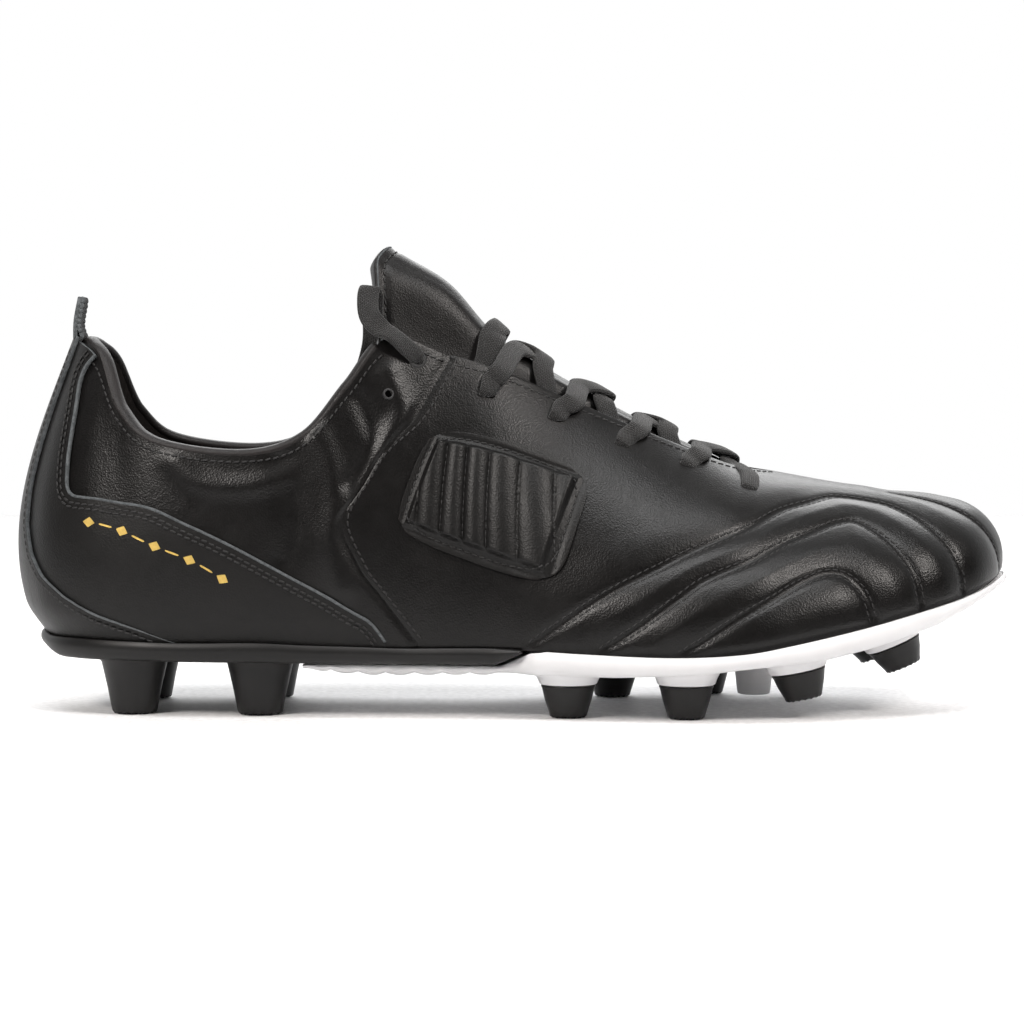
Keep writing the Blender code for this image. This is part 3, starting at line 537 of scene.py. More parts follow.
def capsule_template(sides=6):
    """Points and faces of a short rod with rounded ends along X, length 1 and radius 1."""
    rings = [(-0.5, 0.0), (-0.47, 0.6), (-0.36, 1.0), (0.36, 1.0), (0.47, 0.6), (0.5, 0.0)]
    points = [(x, r * math.cos(2.0 * math.pi * k / sides), r * math.sin(2.0 * math.pi * k / sides))
              for x, r in rings for k in range(sides)]
    faces = quads(len(rings), sides, closed=True)
    return np.array(points), np.array(faces)


def stitches(name, rows, body, radius=STITCH_RADIUS, length=STITCH_LENGTH, pitch=STITCH_PITCH,
             tilt=0.12):
    """Thread stitches laid along rows of (points, outward normals), all one piece."""
    shape, shape_faces = capsule_template()
    all_points, all_faces, start = [], [], 0
    for points, normals in rows:
        both = np.hstack([points, normals])
        spots, ahead = even(both, pitch)
        where, up = spots[:, :3], unit(spots[:, 3:6])
        along = unit(ahead[:, :3] - up * (ahead[:, :3] * up).sum(1, keepdims=True))
        side = np.cross(up, along)
        along = unit(along + side * tilt)
        side = np.cross(up, along)
        local = (where[:, None, :] + along[:, None, :] * (shape[None, :, 0:1] * length)
                 + side[:, None, :] * (shape[None, :, 1:2] * radius * 1.15)
                 + up[:, None, :] * (shape[None, :, 2:3] * radius + radius * 0.15))
        all_points.append(local.reshape(-1, 3))
        for k in range(len(where)):
            all_faces.append(shape_faces + start + k * len(shape))
        start += len(where) * len(shape)
    mesh = raw_mesh(name, np.vstack(all_points), np.vstack(all_faces).tolist(), weld=0.000001)
    item = new_object(name, mesh, [THREAD])
    mesh.shade_smooth()
    finish_piece(item, body)


# ---- seams, quilting and folds -----------------------------------------------------------------

SEAM = locate(SEAM_LINE)
SEAM = SEAM[np.argsort(SEAM[:, 1])]
PATCH_SITES = locate(PATCH_CORNERS)
SEAM_SMOOTH = spline(SEAM, 300)
SEAM_ORDER = np.argsort(SEAM_SMOOTH[:, 1])
OVERLAY_TOP = surface_line(OVERLAY_EDGE, 400)


def seam_station(v):
    return np.interp(v, SEAM_SMOOTH[SEAM_ORDER, 1], SEAM_SMOOTH[SEAM_ORDER, 0])


def distance_to(points, line):
    """Distance from every point to a dense polyline."""
    flat = points.reshape(-1, 3)
    best = np.full(len(flat), 1e9)
    for start in range(0, len(flat), 20000):
        part = flat[start:start + 20000]
        gap = ((part[:, None, :] - line[None, :, :]) ** 2).sum(-1)
        best[start:start + 20000] = np.sqrt(gap.min(1))
    return best.reshape(points.shape[:-1])


QUILT_SETS = []
for quilt_line in QUILT_LINES:
    QUILT_SETS.append(surface_line(quilt_line, 380))
TOE_SET = surface_line(TOE_LINE, 200)


def lateral(u):
    """The station on the lateral side that lies opposite u, or u itself."""
    return np.minimum(u % LOOP, LOOP - u % LOOP)


def quilting(points, u):
    """How far the quilted vamp stands off its skin: sewn grooves with soft pads between them."""
    nearest = np.full(points.shape[:-1], 1e9)
    for side in (0, 1):
        for line in QUILT_SETS + [TOE_SET]:
            track = on_side(line, side)
            nearest = np.minimum(nearest, distance_to(points, skin(track[:, 0], track[:, 1])))
    pad = (1.0 - np.exp(-(nearest / 5.5) ** 2)) * smooth(10.2, 12.2, lateral(u))
    return pad - QUILT_GROOVE * np.exp(-(nearest / 1.35) ** 2)


def folds(points):
    """Soft upright creases of the thin rear quarter leather."""
    height = np.zeros(points.shape[:-1])
    mirrored = points * np.array((1.0, -1.0, 1.0))
    for route, tall, wide in FOLD_LINES:
        line = surface_line(route, 60)
        track = skin(line[:, 0], line[:, 1])
        gap = np.minimum(distance_to(points, track), distance_to(mirrored, track) + 0.4)
        height += tall * np.exp(-(gap / wide) ** 2)
    return height


def upper_rise(u, v):
    """How far the outer leather stands off the skin, on either side of the seam."""
    points = skin(u, v)
    return np.where(lateral(u) > seam_station(v), quilting(points, u), folds(points))


def pressed_by_overlays(u, v):
    """Height of the heel pieces over the skin, thinned to nothing where they turn under the sole."""
    return 0.25 + 0.75 * smooth(0.0, 0.13, v)


# ---- vamp and quarters -------------------------------------------------------------------------

def vamp_grid(side_count, toe_count, rows):
    """(u, v) of a grid once round the front from seam to seam."""
    v = np.linspace(0.0, 1.0, rows)
    ring = []
    for share in np.linspace(0.0, 1.0, side_count, endpoint=False):
        ring.append(seam_station(v) * (1.0 - share) + CREST_START * share)
    for station in np.linspace(CREST_START, LAST_STATION, toe_count, endpoint=False):
        ring.append(np.full(rows, station))
    half = list(ring)
    ring.append(np.full(rows, float(LAST_STATION)))
    ring += [LOOP - column for column in reversed(half)]
    u = np.array(ring)
    return u, np.broadcast_to(v, u.shape)


def make_vamp():
    u, v = vamp_grid(180, 105, 96)
    base = skin(u, v)
    rise = quilting(base, u)
    crest = (v > 0.999) & (u >= CREST_START) & (u <= LOOP - CREST_START)
    rise = np.where(crest, (rise + rise[::-1]) / 2.0, rise)
    rise = rise * smooth(0.0, 0.05, v) + 0.15 * smooth(0.0, 0.1, seam_distance(u, v))
    pole, pole_normal = skin(LAST_STATION, 1.0), normal(LAST_STATION, 0.97)
    near = np.exp(-(np.linalg.norm(base - pole, axis=-1) / 4.0) ** 2)[..., None]
    lift = layer(u, v, rise) - base
    length = np.linalg.norm(lift, axis=-1, keepdims=True) * np.sign(rise)[..., None]
    points = base + lift * (1.0 - near) + pole_normal * length * near
    panel("vamp_leather", points, LEATHER, SKIN_LEATHER, DARK_EDGE, BOOT, ["vamp"])


def seam_distance(u, v):
    return np.abs(lateral(u) - seam_station(v))


def lining_rise(u, v):
    station = lateral(u)
    edge = np.clip((v - 0.72) / 0.12, 0.0, 1.0)
    ahead = np.clip((CREST_START - station) / 0.8, 0.0, 1.0)
    behind = np.clip(station - 7.0, 0.0, 1.0)
    return -LINING_DEPTH + (LINING_DEPTH - EYESTAY_LINING_DEPTH) * edge * ahead * behind


def make_quarters():
    v = np.linspace(0.0, 1.0, 110)
    for side, name in SIDES:
        u = np.linspace(0.0, 1.0, 150)[:, None] * (seam_station(v) + 0.07)[None, :]
        height = np.broadcast_to(v, u.shape)
        rise = folds(skin(u, height)) * smooth(0.0, 0.12, height) * smooth(0.0, 0.06, 1.0 - height)
        rise = rise - 0.55 * smooth(0.25, 0.0, seam_distance(u, height))
        if side:
            u, height, rise = -u[::-1], height[::-1], rise[::-1]
        panel("rear_quarter_leather_" + name, layer(u, height, rise), LEATHER, SKIN_LEATHER, DARK_EDGE, BOOT,
              ["rear_quarter_" + name])


def make_linings():
    u, v = vamp_grid(60, 40, 40)
    panel("vamp_lining_cloth", layer(u, v, lining_rise(u, v)), LINING, LINING_CLOTH, DARK_EDGE, BOOT,
          ["vamp_lining"], bevel=0.0)
    v = np.linspace(0.0, 0.99, 50)
    u = np.linspace(-1.0, 1.0, 140)[:, None] * (seam_station(v) + 0.02)[None, :]
    height = np.broadcast_to(v, u.shape)
    panel("quarter_lining_cloth", layer(u, height, lining_rise(u, height)), LINING, LINING_CLOTH, DARK_EDGE,
          BOOT, ["quarter_lining"], bevel=0.0)


def tube(name, centre, ups, wide, thick, made, body, nodes=(), sides=12, power=2.0, uv_length=0.0):
    """Closed rod along centre whose section is wide across and thick along ups."""
    centre = np.asarray(centre, float)
    ahead = unit(np.gradient(centre, axis=0))
    up = unit(ups - ahead * (ups * ahead).sum(1, keepdims=True))
    side = np.cross(ahead, up)
    cos, sin = np.cos(turns(sides)), np.sin(turns(sides))
    x = np.sign(cos) * np.abs(cos) ** (2.0 / power)
    y = np.sign(sin) * np.abs(sin) ** (2.0 / power)
    wide = np.broadcast_to(np.asarray(wide, float), (len(centre),))
    thick = np.broadcast_to(np.asarray(thick, float), (len(centre),))
    points = (centre[:, None, :] + side[:, None, :] * (x[None, :, None] * wide[:, None, None] / 2.0)
              + up[:, None, :] * (y[None, :, None] * thick[:, None, None] / 2.0))
    mesh = raw_mesh(name, points, capped(len(centre), sides), weld=0.0, outward=True)
    item = new_object(name, mesh, [made])
    if uv_length:
        steps = np.concatenate([[0.0], np.cumsum(np.linalg.norm(np.diff(centre, axis=0), axis=1))])
        layer_uv = mesh.uv_layers.new(name="along")
        values = np.zeros((len(mesh.loops), 2))
        index = np.array([loop.vertex_index for loop in mesh.loops])
        ring, spot = np.divmod(index, sides)
        values[:, 0] = steps[ring]
        values[:, 1] = y_to_width(x, y, spot) * wide[ring]
        layer_uv.data.foreach_set("uv", values.ravel())
    mesh.shade_smooth()
    finish_piece(item, body, nodes)


def y_to_width(x, y, spot):
    """Place across the band, the underside continuing past the edge so the weave isn't stretched."""
    across = x[spot] * 0.5
    return np.where(y[spot] >= 0.0, across, across + 3.0)


def make_collar_roll():
    """Rolled and padded top edge, from the lace corner round the heel to the other corner."""
    u = np.linspace(-7.75, 7.75, 260)
    top = np.ones_like(u)
    out = normal(u, top * 0.99)
    depth = (LINING_DEPTH + LINING) / 2.0
    centre = skin(u, top) - out * depth + np.array((0.0, 0.0, -0.35))
    tube("collar_roll", centre, np.tile((0.0, 0.0, 1.0), (len(u), 1)), LINING_DEPTH + LINING + 0.35, 3.4,
         COLLAR_LEATHER, BOOT, sides=16, power=2.3)


def side_rows(line, rise, offset=0.0, sides=(0, 1), count=400):
    """(points, normals) of a stitch row along a (u, v) line, moved sideways by offset on the surface."""
    rows = []
    for side in sides:
        u, v = on_side(spline(line, count) if len(line) < count else line, side).T
        v = np.clip(v, 0.0, 1.0)
        points, ups = layer(u, v, rise(u, v) if callable(rise) else rise), normal(u, v)
        if offset:
            points = points + np.cross(ups, unit(np.gradient(points, axis=0))) * offset
        rows.append((points, ups))
    return rows


def mirrored_rows(line, rise, offset):
    """Stitch rows offset towards the same edge on both sides."""
    return side_rows(line, rise, -offset, sides=(0,)) + side_rows(line, rise, offset, sides=(1,))


def level_line(first, last, v, count):
    return np.stack([np.linspace(first, last, count), np.full(count, v)], axis=1)


def make_upper_stitching():
    def stitch_rise(u, v):
        return upper_rise(u, v) + 0.1

    rows = []
    for line in QUILT_SETS + [TOE_SET[TOE_SET[:, 1] < 0.93]]:
        line = spline(line, 400)
        for offset in (-1.15, 1.15):
            for points, ups in side_rows(line, 0.0, offset):
                rows.append((points + ups * (quilting(points, line[:, 0]) + 0.02)[:, None], ups))
    v = np.linspace(0.03, 0.985, 200)
    seam_line = np.stack([seam_station(v) + 0.13, v], axis=1)
    rows += side_rows(seam_line, 0.12)
    eyestay, corner = level_line(9.25, 13.85, 0.965, 300), level_line(8.1, 9.0, 0.972, 80)
    rows += side_rows(eyestay, stitch_rise) + side_rows(corner, 0.05)
    rows += side_rows(level_line(0.6, 7.9, 0.95, 400), stitch_rise)
    stitches("upper_stitches", rows, BOOT)


# ---- heel pieces -------------------------------------------------------------------------------

BACKSTAY_HALF_WIDTH = [(0.0, 3.9), (0.05, 3.2), (0.1, 2.4), (0.16, 1.7), (0.22, 1.2), (0.29, 0.85),
                       (0.38, 0.64), (0.5, 0.56), (0.75, 0.56), (1.0, 0.62)]
HEEL_CORNER = 0.4                # share of the overlay's edge that faces the heel's centre line


def overlay_grid(rows=60):
    """(u, v) of the lateral heel overlay, from its centre-line and sole edges out to its cut edge."""
    edge = OVERLAY_TOP[::2]
    share = np.linspace(0.0, 1.0, len(edge))
    down = np.clip(share / HEEL_CORNER, 0.0, 1.0)
    along = np.clip((share - HEEL_CORNER) / (1.0 - HEEL_CORNER), 0.0, 1.0)
    base_u = 0.05 + along * (edge[-1, 0] - 0.05)
    base_v = 0.985 * (1.0 - down)
    reach = np.linspace(0.0, 1.0, rows)[None, :]
    u = base_u[:, None] * (1.0 - reach) + edge[:, 0:1] * reach
    v = base_v[:, None] * (1.0 - reach) + np.minimum(edge[:, 1:2], 0.985) * reach
    return u, np.clip(v, 0.0, 1.0)


def overlay_rise(u, v):
    return OVERLAY_RISE * pressed_by_overlays(u, v)


def backstay_rise(u, v):
    return BACKSTAY_RISE * pressed_by_overlays(u, v)


def make_heel():
    u, v = overlay_grid()
    for side, name in SIDES:
        around, height = (u, v) if side == 0 else (-u[::-1], v[::-1])
        panel("heel_overlay_leather_" + name, layer(around, height, overlay_rise(around, height)), OVERLAY,
              OVERLAY_LEATHER, GREY_EDGE, BOOT, ["heel_overlay_" + name])
    v = np.linspace(0.0, 0.999, 150)
    u = np.linspace(-1.0, 1.0, 72)[:, None] * table(BACKSTAY_HALF_WIDTH, v)[None, :]
    height = np.broadcast_to(v, u.shape)
    panel("backstay_leather", layer(u, height, backstay_rise(u, height)), BACKSTAY, OVERLAY_LEATHER,
          GREY_EDGE, BOOT, ["backstay"])
    for side, name in SIDES:
        u, v = on_side(OVERLAY_TOP[::2], side).T
        tube("overlay_edge_" + name, layer(u, v, overlay_rise(u, v) - 0.45), normal(u, v), 1.0, 1.25,
             GREY_EDGE, BOOT, sides=10)


def make_heel_stitching():
    rows = []
    for inset in (2.0, 3.3):
        rows += mirrored_rows(OVERLAY_TOP[6:-6], lambda u, v: overlay_rise(u, v) + 0.05, inset)
    v = np.linspace(0.03, 0.97, 300)
    border = np.stack([table(BACKSTAY_HALF_WIDTH, v), v], axis=1)
    rows += mirrored_rows(border, lambda u, v: backstay_rise(u, v) - 0.12, -1.7)
    stitches("heel_stitches", rows, BOOT)


MARK_COUNT, MARK_CORNERS, FOIL = 9, 24, 0.09
LOZENGE, DASH = (1.9, 1.5, 1.9), (2.1, 0.28, 0.6)      # half length, half height, roundness power


def mark_outline(index):
    """Outline of one mark round its middle: lozenges and dashes take turns."""
    long, tall, power = LOZENGE if index % 2 == 0 else DASH
    cos, sin = np.cos(turns(MARK_CORNERS)), np.sin(turns(MARK_CORNERS))
    return long * np.sign(cos) * np.abs(cos) ** power, tall * np.sign(sin) * np.abs(sin) ** power


def make_gold_mark():
    """A plain foil line broken by lozenges, where such boots carry a printed word."""
    line = surface_line(GOLD_LINE, 300)
    for side, name in SIDES:
        u, v = on_side(line, side).T
        centre, ups = layer(u, v, overlay_rise(u, v) + 0.05), normal(u, v)
        frames = np.hstack([centre, np.cross(ups, unit(np.gradient(centre, axis=0))), ups])
        along = np.concatenate([[0.0], np.cumsum(np.linalg.norm(np.diff(centre, axis=0), axis=1))])
        points, faces = [], []
        for index in range(MARK_COUNT):
            x, y = mark_outline(index)
            x = x + 3.0 + index * (along[-1] - 6.0) / (MARK_COUNT - 1.0)
            spot = np.stack([np.interp(x, along, frames[:, k]) for k in range(9)], axis=1)
            for rise in (0.0, FOIL):
                points.append(spot[:, :3] + spot[:, 3:6] * y[:, None] + spot[:, 6:] * (rise - 0.02))
            faces += capped(2, MARK_CORNERS, 2 * MARK_CORNERS * index)
        mesh = raw_mesh("gold_mark_" + name, np.vstack(points), faces, weld=0.0, outward=True)
        finish_piece(new_object("gold_mark_" + name, mesh, [GOLD]), BOOT)


# ---- side patches ------------------------------------------------------------------------------

PATCH_LONG, PATCH_TALL, PATCH_SQUARENESS = 50.0, 35.0, 5.0


def rounded(a, b):
    """Move points of the square from -1 to 1 into a square with rounded corners, as (s, t) from 0 to 1."""
    largest = np.maximum(np.abs(a), np.abs(b))
    power = (np.abs(a) ** PATCH_SQUARENESS + np.abs(b) ** PATCH_SQUARENESS) ** (1.0 / PATCH_SQUARENESS)
    shrink = largest / np.maximum(power, 1e-9)
    return 0.5 + 0.5 * a * shrink, 0.5 + 0.5 * b * shrink


def patch_place(s, t):
    """(u, v) on the lateral side of a place on the patch: s along it, t up it."""
    corners = PATCH_SITES
    low = corners[0] * (1.0 - s[..., None]) + corners[1] * s[..., None]
    high = corners[3] * (1.0 - s[..., None]) + corners[2] * s[..., None]
    return low * (1.0 - t[..., None]) + high * t[..., None]


def patch_rise(s, t):
    """Six padded bars that lean across the patch, inside a flat sewn border."""
    edge = np.minimum(np.minimum(s, 1.0 - s) * PATCH_LONG, np.minimum(t, 1.0 - t) * PATCH_TALL)
    inside = smooth(3.3, 4.9, edge)
    bars = np.abs(np.sin((s * 6.0 + t * 1.2) * math.pi))
    field = 2.3 * inside * (0.3 + 0.7 * bars ** 0.6)
    return PATCH_RISE + field - 0.35 * np.exp(-((edge - 2.1) / 0.7) ** 2)


def patch_row(s, t, side, lift):
    """(points, normals) of a stitch row on the patch."""
    place = on_side(patch_place(s, t), side)
    points = layer(place[:, 0], place[:, 1], patch_rise(s, t) + lift)
    return points, normal(place[:, 0], place[:, 1])


def make_patches():
    a, b = np.meshgrid(np.linspace(-1.0, 1.0, 190), np.linspace(-1.0, 1.0, 120), indexing="ij")
    s, t = rounded(a, b)
    place = patch_place(s, t)
    rows = []
    for side, name in SIDES:
        around = place[..., 0] if side == 0 else LOOP - place[..., 0]
        points = layer(around, place[..., 1], patch_rise(s, t))
        points = points if side == 0 else points[::-1]
        panel("side_patch_leather_" + name, points, PATCH, OVERLAY_LEATHER, DARK_EDGE, BOOT,
              ["side_patch_" + name], bevel=0.2)
        turn = np.linspace(0.0, 2.0 * math.pi, 500)
        reach = np.maximum(np.abs(np.cos(turn)), np.abs(np.sin(turn)))
        ring_s, ring_t = rounded(np.cos(turn) / reach, np.sin(turn) / reach)
        ring_s = 0.5 + (ring_s - 0.5) * (1.0 - 4.2 / PATCH_LONG)
        ring_t = 0.5 + (ring_t - 0.5) * (1.0 - 4.2 / PATCH_TALL)
        rows.append(patch_row(ring_s, ring_t, side, 0.0))
        for bar in range(2, 7):
            line_t = np.linspace(0.15, 0.85, 60)
            rows.append(patch_row((bar - line_t * 1.2) / 6.0, line_t, side, 0.0))
    stitches("patch_stitches", rows, BOOT)


# ---- pull tab ----------------------------------------------------------------------------------

# leaf, set back, thickness, tooth depth, foot height
LEAVES = [("outer", -0.75, 1.3, 0.0, -0.9), ("inner", 0.35, 1.1, 0.3, -0.4)]
TAB_TOP, TAB_HALF_WIDTH, TOOTH_PITCH = 11.6, 4.9, 1.5
BEND_FROM, BEND_TO = 0.6, 4.4


def make_pull_tab():
    """Two leaves of tape sewn to the backstay's top, the inner one pinked."""
    base = layer(0.0, 1.0, BACKSTAY_RISE - 0.6)
    start, end = (tuple((base + SHIFT + (0.0, 0.0, height)) * MM) for height in (BEND_FROM, BEND_TO))
    for leaf, back, thick, tooth, foot_height in LEAVES:
        heights = np.linspace(foot_height, TAB_TOP, 90)
        wave = tooth * (4.0 * np.abs((heights / TOOTH_PITCH) % 1.0 - 0.5) - 1.0)
        half = TAB_HALF_WIDTH * np.sqrt(1.0 - np.clip((heights - 6.0) / 6.4, 0.0, 0.98) ** 4) + wave
        lean = 0.1 * heights - 0.3 * np.sin(heights * 0.36)
        if tooth:
            lean = lean + 0.9 * np.exp(-(heights / 1.6) ** 2)
        y = np.linspace(1.0, -1.0, 25)[:, None] * half
        x = base[0] + back + lean + 0.01 * y * y + wave * 0.55
        points = np.stack([x, y, base[2] + heights - 0.01 * y * y], axis=-1)
        panel("pull_tab_" + leaf, points, thick, TAPE, GREY_EDGE, (BOOT, TAB_BODY, start, end),
              ["pull_tab"] if leaf == "outer" else [], bevel=0.15)


# ---- eyelets -----------------------------------------------------------------------------------

def make_eyelets():
    """Punched lace holes: a flat near-black disc in each as painted shadow of the hole, with a pressed rim,
    the rearmost pair left empty.
    """
    sites = [locate([(x, z)])[0] for _, x, z in EYELETS] + [locate([SPARE_EYELET])[0]]
    sizes = [1.0] * len(EYELETS) + [0.62]
    # flat disc just over the leather, painted as the hole's shadow
    shadow_disc = [(0.0, 0.12), (1.5, 0.13), (1.62, 0.14)]
    rim = [(1.62, 0.1), (1.75, 0.24), (2.05, 0.36), (2.4, 0.3), (2.7, 0.12), (2.9, -0.3)]
    sides = 28
    turn = turns(sides)
    for name, profile, made in (("eyelet_wells", shadow_disc, HOLE_SHADOW_PAINT), ("eyelet_rims", rim, EYELET_EDGE)):
        points, faces, start = [], [], 0
        for (u, v), size in zip(sites, sizes):
            for station in (u, LOOP - u):
                up = normal(station, v)
                along = unit(skin(station + 0.03, v) - skin(station - 0.03, v))
                side = np.cross(up, along)
                middle = layer(station, v, upper_rise(np.array([station]), np.array([v]))[0])
                for radius, height in profile:
                    points.append(middle + up * height + along * (np.cos(turn)[:, None] * radius * size)
                                  + side * (np.sin(turn)[:, None] * radius * size))
                faces += [[start + k for k in face] for face in quads(len(profile), sides, closed=True)]
                start += len(profile) * sides
        item = new_object(name, raw_mesh(name, np.vstack(points), faces), [made])
        item.data.shade_smooth()
        finish_piece(item, BOOT)


# ---- tongue ------------------------------------------------------------------------------------

RIDGE_CURVE = spline(np.array(TONGUE_RIDGE), 200)[::-1]


def tongue_ridge(u):
    x = np.interp(u, RIDGE_CURVE[:, 0], RIDGE_CURVE[:, 1])
    z = np.interp(u, RIDGE_CURVE[:, 0], RIDGE_CURVE[:, 2])
    return np.stack([x, np.zeros_like(x), z], axis=-1)


def tongue_controls(u):
    """Eleven points across the tongue at each station in u, from the lateral edge to the medial one."""
    sides = []
    ridge = tongue_ridge(u)
    for station in (u, LOOP - u):
        top = layer(station, np.ones_like(u), -TONGUE_DEPTH)
        edge = top * np.array((1.0, 0.86, 1.0))
        reach = ridge[..., 2] - skin(station, np.ones_like(u))[..., 2]
        shoulder = np.stack([edge[..., 0] * 0.35 + ridge[..., 0] * 0.65, edge[..., 1] * 0.66,
                             ridge[..., 2] - 0.26 * reach - 1.0], axis=-1)
        brow = np.stack([ridge[..., 0], edge[..., 1] * 0.34, ridge[..., 2] - 0.06 * reach - 0.3], axis=-1)
        sides.append([layer(station, np.full_like(u, 0.7), -TONGUE_DEPTH),
                      layer(station, np.full_like(u, 0.86), -TONGUE_DEPTH), edge, shoulder, brow, ridge])
    return np.array(sides[0] + sides[1][-2::-1])


def tongue_bulge(u, place):
    """How far the tongue's rounded rear end reaches back on either side of its ridge."""
    off_ridge = np.abs(place - 5.0)
    return -4.2 * np.exp(-((off_ridge - 1.6) / 1.25) ** 2) * smooth(8.95, 7.95, u)


def tongue_face(u, place):
    """Points of the tongue's face: place is 0 at the lateral edge, 5 at the ridge, 10 at the medial one."""
    u, place = np.broadcast_arrays(np.asarray(u, float), np.asarray(place, float))
    control = tongue_controls(u)
    padded = np.concatenate([2.0 * control[:1] - control[1:2], control, 2.0 * control[-1:] - control[-2:-1]])
    index = np.minimum(place.astype(int), 9)
    share = (place - index)[..., None]
    picked = [np.take_along_axis(padded, (index + step)[None, ..., None], axis=0)[0] for step in range(4)]
    points = catmull(*picked, share)
    points[..., 0] += tongue_bulge(u, place)
    return points


def tongue_normal(u, place):
    across = tongue_face(u, np.minimum(place + 0.05, 10.0)) - tongue_face(u, np.maximum(place - 0.05, 0.0))
    along = tongue_face(u + 0.04, place) - tongue_face(u - 0.04, place)
    return unit(np.cross(along, across))


def tongue_layer(u, place, rise):
    u, place = np.broadcast_arrays(np.asarray(u, float), np.asarray(place, float))
    return tongue_face(u, place) + tongue_normal(u, place) * np.asarray(rise, float)[..., None]


def tongue_tube(name, station, first, last, count, rise, wide, thick, made, sides, power=2.0):
    place = np.linspace(first, last, count)
    tube(name, tongue_layer(station, place, rise), tongue_normal(station, place), wide, thick, made,
         TONGUE_BODY, sides=sides, power=power)


def make_tongue():
    u, place = np.meshgrid(np.linspace(8.0, 13.3, 130), np.linspace(0.0, 10.0, 110), indexing="ij")
    rear = u - 8.0
    dimple = -0.4 * np.exp(-((rear - 0.13) / 0.05) ** 2)
    crown = 0.5 * smooth(0.3, 1.1, rear) * np.exp(-((place - 5.0) / 2.6) ** 2)
    wave = 0.21 * np.sin(place * 1.7 + rear * 1.3) * smooth(0.5, 2.0, rear) * smooth(5.3, 3.0, rear)
    panel("tongue_leather", tongue_layer(u, place, dimple + crown + wave), 1.1, TONGUE_LEATHER, GREY_EDGE,
          TONGUE_BODY, ["tongue"])
    u, place = np.meshgrid(np.linspace(8.0, 13.2, 60), np.linspace(0.1, 9.9, 50), indexing="ij")
    panel("tongue_lining_cloth", tongue_layer(u, place, -4.6), LINING, LINING_CLOTH, DARK_EDGE, TONGUE_BODY,
          ["tongue_lining"], bevel=0.0)
    tongue_tube("tongue_binding", 7.985, 1.2, 8.8, 160, -2.55, 1.3, 5.1, TONGUE_LEATHER, 16, 2.6)
    tongue_tube("tongue_edge_line", 8.015, 1.3, 8.7, 200, 0.02, 0.55, 0.4, GREY_EDGE, 8)
    place = np.linspace(1.3, 8.7, 200)
    rows = [(tongue_layer(8.13, place, -0.32), tongue_normal(8.13, place))]
    stitches("tongue_stitches", rows, TONGUE_BODY)


# ---- lace --------------------------------------------------------------------------------------

LACE_ON_FLAP, LACE_UNDER_FLAP, LACE_FIRST, LACE_SECOND = 1.2, -3.9, 1.4, 3.3
TAIL_POINTS = [(-34.5, -25.4, 110.6), (-38.6, -24.6, 113.0), (-41.6, -22.0, 116.6), (-42.2, -18.6, 121.6),
               (-41.6, -15.6, 124.6), (-41.0, -14.6, 119.0), (-42.0, -17.0, 108.0), (-45.5, -16.8, 98.0),
               (-50.5, -15.0, 89.0), (-52.5, -13.5, 82.0)]
TAIL_UPS = [(-0.1, -0.55, 0.85), (-0.4, -0.6, 0.7), (-0.2, -0.98, 0.2), (0.0, -1.0, 0.25), (0.0, -0.3, 1.0),
            (0.0, 1.0, 0.1), (-0.4, 0.9, 0.0), (-0.8, 0.4, 0.0), (-1.0, 0.0, 0.0), (-1.0, 0.0, 0.0)]


